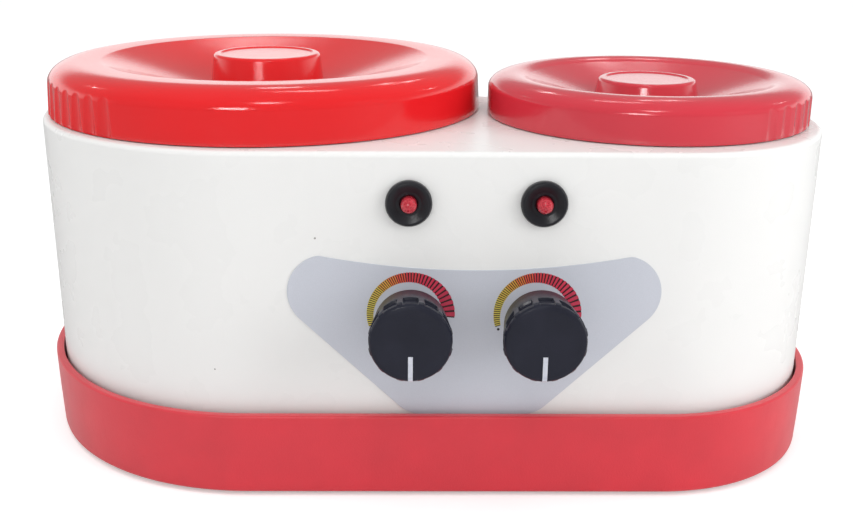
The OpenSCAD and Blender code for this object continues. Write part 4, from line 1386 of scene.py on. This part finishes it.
class WARMER_OT_inside(Maker, bpy.types.Operator):
    """Runs the leads and capillaries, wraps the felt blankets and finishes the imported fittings"""

    bl_idname = "warmer.inside"
    bl_label = "Inside"

    def execute(self, context):
        self.leads()
        self.sensors()
        self.blankets()
        finishes = {
            "zinc_plated": (
                "tray_screws", "lamp_nuts", "panel_nuts", "well_screws", "heater_clamp_screws"),
            "neon_glass": ("left_neon_bulb", "right_neon_bulb"),
            "ivory_phenolic": ("left_thermostat", "right_thermostat"),
            "mica_steel": ("left_heater_band", "right_heater_band"),
            "fuse_ceramic": ("thermal_fuses",),
            "block_nylon": ("terminal_block",),
            "brass": ("terminal_screws",),
            "bushing_black": ("cord_bushing_nut",),
            "shaft_steel": ("left_dial_shaft", "right_dial_shaft")}
        for finish, nodes in finishes.items():
            for node in nodes:
                dress(node, finish)
        return {"FINISHED"}

    def leads(self):
        """Leads from the cord bushing to the terminal block, and on to the thermostats."""
        block_x = PANEL_X - 16
        block_y = FRONT + 34
        low = 9.0
        radius = 1.2
        ways = [block_x + 6 + 10 * i for i in range(3)]
        shape = Shape("insulated_leads")
        for i in range(2):
            x = LARGE[0] + (i - 0.5) * 4.8
            y = LARGE[1] + 77.8
            run = low + 4 + 5 * i
            shape.tube([(x, y, BUSHING[2]), (x, y - 14, run), (ways[i], block_y + 32, run),
                        (ways[i], block_y + 24, low), (ways[i], block_y + 15, low)], radius)
        back = FRONT + 2.5 + 18 + 4
        for side, sign, way in (("left", -1, 0), ("right", 1, 2)):
            x = PANEL_X + sign * (22.6 + 6)
            z = DIALS[side][1] + sign * 3
            shape.tube([(ways[way], block_y + 5, low), (ways[way], block_y - 4, low),
                        (x, block_y - 8, low + 10), (x, back, z - 6), (x, back, z - 0.4)], radius)
        wires = shape.make()
        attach(wires, "base")
        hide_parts("wiring")
        wear(wires, "lead_sleeve")

    def sensors(self):
        """A sensor bulb under each well, with its capillary to the thermostat."""
        half = 25
        z = WELL_FLOOR - 3.0
        y = FRONT + 20.5
        for side, at, turn in (("left", LARGE, -30.0), ("right", SMALL, -150.0)):
            c = math.cos(math.radians(turn))
            s = math.sin(math.radians(turn))
            x = DIALS[side][0]
            end = DIALS[side][1] - 10
            outline = softened([
                (0, -half, 0), (1.9, -24.8, 0.6), (3.0, -22.5, 1.2), (3.0, 22.5, 1.2), (1.5, 24.8, 0.6),
                (0, half, 0)], steps=4)
            shape = Shape(side + "_sensor")
            shape.turn(outline, lambda a, b, h: (at[0] + h * c - a * s, at[1] + h * s + a * c, z + b),
                       40, closed=False)
            tip = (at[0] + half * c, at[1] + half * s, z)
            shape.tube([tip, (tip[0], tip[1] - 6, z - 8), (x, y + 14, z - 8), (x, y + 5, end),
                        (x, y, end)], 0.8, 10, 4.0)
            sensor = shape.make()
            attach(sensor, "base")
            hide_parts(side + "_sensor_bulb")
            wear(sensor, "copper")

    def blankets(self):
        """A quilted band of felt round each heater, open where the heater's lugs stand."""
        z0 = HEATER[0][2]
        z1 = HEATER[1][2]
        count = 158
        for side, at, radius, split in (("left", LARGE, 80.1, -42.0), ("right", SMALL, 57.6, -152.0)):
            loops = []
            for k in range(count + 1):
                angle = split + 22.0 + 316.0 * k / count
                c = math.cos(math.radians(angle))
                s = math.sin(math.radians(angle))
                stitch = 0.6 + 0.4 * math.cos(math.radians(angle * 36))
                section = softened([(radius, z0, 0.5), (radius + 2.5, z0, 1.0), (radius + 2.5, z1, 1.0),
                                    (radius, z1, 0.5)], True, 4)
                loop = []
                for r, z in spread_out(section, 2.4):
                    seams = (z - z0 - 11, z - z1 + 11)
                    quilt = sum(0.55 * math.exp(-(away / 1.4) ** 2) for away in seams)
                    rough = 0.22 * (noise.noise(Vector((c * 9, s * 9, z * 0.12))) + 1)
                    if r > radius + 1.2:
                        r -= quilt * stitch + rough
                    loop.append((at[0] + r * c, at[1] + r * s, z))
                loops.append(loop)
            shape = Shape(side + "_felt_blanket")
            shape.stack(loops)
            felt = shape.make(sharp=60.0)
            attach(felt, "base")
            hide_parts(side + "_insulation")
            wear(felt, "glass_felt")


class WARMER_OT_stage(Maker, bpy.types.Operator):
    """Lays a pale floor and sets the soft lamps and the white room"""

    bl_idname = "warmer.stage"
    bl_label = "Studio"

    def execute(self, context):
        studio = settings().studio
        context.scene.view_settings.view_transform = "Standard"
        self.floor(context, studio)
        self.room(context, studio)
        self.windows(context, studio)
        lamps = (
            ("key_lamp", (-0.15, -0.25, 1.25), (0.0, 0.0, 0.05), (1.1, 0.9), studio.key),
            ("left_lamp", (-0.95, -0.55, 0.55), (0.0, 0.0, 0.08), (0.5, 0.7), studio.side * 0.5),
            ("right_lamp", (0.95, -0.55, 0.45), (0.0, 0.0, 0.08), (0.5, 0.7), studio.side * 1.6),
        )
        for name, place, target, size, watts in lamps:
            lamp = self.lamp(context, name, Vector(place), Vector(target) - Vector(place), size, watts)
            lamp.visible_glossy = False
        return {"FINISHED"}

    def lamp(self, context, name, place, aim, size, watts):
        data = bpy.data.lights.new(name, "AREA")
        data.shape = "RECTANGLE"
        data.size = size[0]
        data.size_y = size[1]
        data.energy = watts
        lamp = bpy.data.objects.new(name, data)
        context.scene.collection.objects.link(lamp)
        lamp.location = place
        lamp.rotation_euler = aim.to_track_quat("-Z", "Y").to_euler()
        return lamp

    def floor(self, context, studio):
        """A pale floor that keeps the shadow and is darker where gloss mirrors it."""
        mesh = bpy.data.meshes.new("floor")
        mesh.from_pydata([(-5, -5, 0), (5, -5, 0), (5, 5, 0), (-5, 5, 0)], [], [(0, 1, 2, 3)])
        floor = bpy.data.objects.new("floor", mesh)
        context.scene.collection.objects.link(floor)
        material, tree, shader = base_material("studio_floor")
        path = put(tree, "LightPath").outputs
        dim = solid(scaled(studio.floor, 0.45))
        shade(tree, shader, {
            "Roughness": 0.7, "Specular IOR Level": 0.2, "Emission Color": (1, 1, 1, 1),
            "Base Color": mix(tree, path["Is Glossy Ray"], solid(studio.floor), dim),
            "Emission Strength": sums(tree, "MULTIPLY", path["Is Camera Ray"], studio.lift)})
        mesh.materials.append(material)

    def windows(self, context, studio):
        """Small bright panes that only gloss mirrors, for the glints on the lids, dials and lamps."""
        reach = 1.6
        panes = (
            ("pane_far", (-0.06, 0.03, 0.15), 96, 42, (0.13, 0.05)),
            ("pane_right_a", (0.09, -0.03, 0.15), 78, 45, (0.05, 0.07)),
            ("pane_right_b", (0.09, -0.03, 0.15), 73, 41, (0.05, 0.07)),
            ("pane_high", (-0.04, -0.07, 0.15), 83, 62, (0.34, 0.04)),
            ("pane_east", (0.0, -0.05, 0.15), 26, 31, (0.06, 0.06)),
            ("pane_west", (-0.14, -0.04, 0.15), 145, 36, (0.06, 0.06)),
            ("pane_front", (0.0, -0.1, 0.10), -87, 58, (0.24, 0.16)),
            ("pane_low", (0.05, -0.12, 0.10), -106, 21, (0.40, 0.30)),
        )
        for name, seen_from, turn, rise, size in panes:
            flat = math.cos(math.radians(rise))
            away = Vector((flat * math.cos(math.radians(turn)), flat * math.sin(math.radians(turn)),
                           math.sin(math.radians(rise))))
            watts = math.pi * size[0] * size[1] * studio.panes
            pane = self.lamp(context, name, Vector(seen_from) + away * reach, -away, size, watts)
            pane.visible_camera = False
            pane.visible_diffuse = False

    def room(self, context, studio):
        """A white room. Gloss mirrors its bright backdrop, a softer ceiling and a dim front."""
        world = bpy.data.worlds.new("studio_room")
        context.scene.world = world
        world.use_nodes = True
        tree = world.node_tree
        shader = tree.nodes["Background"]
        where = put(tree, "TexCoord").outputs["Generated"]
        parts = put(tree, "SeparateXYZ", {0: where}).outputs
        high = ramp(tree, parts[2], 0.20, 0.36, studio.backdrop, studio.ceiling,
                    interpolation_type="SMOOTHSTEP")
        behind = ramp(tree, parts[1], -0.35, 0.35, interpolation_type="SMOOTHSTEP")
        path = put(tree, "LightPath").outputs
        shiny = sums(tree, "MULTIPLY_ADD", behind, sums(tree, "SUBTRACT", high, studio.front),
                     studio.front)
        part = sums(tree, "MULTIPLY", path["Is Glossy Ray"], sums(tree, "SUBTRACT", shiny, studio.room))
        indirect = sums(tree, "ADD", part, studio.room)
        seen = sums(tree, "MAXIMUM", path["Is Camera Ray"], path["Is Transmission Ray"])
        direct = sums(tree, "MULTIPLY", seen, sums(tree, "SUBTRACT", 1.0, indirect))
        shade(tree, shader, {"Strength": sums(tree, "ADD", indirect, direct), "Color": (1, 1, 1, 1)})


class WARMER_PT_pieces(bpy.types.Panel):
    """Lists the pieces of the wax warmer and their sizes"""

    bl_idname = "WARMER_PT_pieces"
    bl_label = "Wax warmer"
    bl_space_type = "VIEW_3D"
    bl_region_type = "UI"
    bl_category = "Wax warmer"

    def draw(self, context):
        layout = self.layout
        for operator in OPERATORS:
            layout.operator(operator.bl_idname, text=operator.bl_label)
        for name in ("body", "large_lid", "small_lid", "dials", "finish", "studio"):
            group = getattr(context.scene.wax_warmer, name)
            box = layout.box()
            box.label(text=name.replace("_", " ").capitalize())
            for key in group.__class__.__annotations__:
                box.prop(group, key)


OPERATORS = (
    WARMER_OT_camera, WARMER_OT_shell, WARMER_OT_tray, WARMER_OT_pots, WARMER_OT_lids, WARMER_OT_panel,
    WARMER_OT_dials, WARMER_OT_lamps, WARMER_OT_bushing, WARMER_OT_inside, WARMER_OT_stage)
CLASSES = (BodySettings, LidSettings, DialSettings, FinishSettings, StudioSettings, WarmerSettings,
           WARMER_PT_pieces) + OPERATORS


def register():
    for made in CLASSES:
        bpy.utils.register_class(made)
    bpy.types.Scene.wax_warmer = bpy.props.PointerProperty(
        type=WarmerSettings, name="Wax warmer", description="Settings of the wax warmer")


def unregister():
    del bpy.types.Scene.wax_warmer
    for made in reversed(CLASSES):
        bpy.utils.unregister_class(made)


def main():
    register()
    small = bpy.context.scene.wax_warmer.small_lid
    for key, value in SMALL_LID.items():
        setattr(small, key, value * MM)
    small.draft = 0.01
    small.flutes = 7
    small.outward = math.radians(-34.0)
    bpy.ops.warmer.camera()
    bpy.ops.warmer.shell()
    bpy.ops.warmer.tray()
    bpy.ops.warmer.pots()
    bpy.ops.warmer.lids()
    bpy.ops.warmer.panel()
    bpy.ops.warmer.dials()
    bpy.ops.warmer.lamps()
    bpy.ops.warmer.bushing()
    bpy.ops.warmer.inside()
    bpy.ops.warmer.stage()
    bpy.context.view_layer.update()
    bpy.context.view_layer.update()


if __name__ == "__main__":
    main()
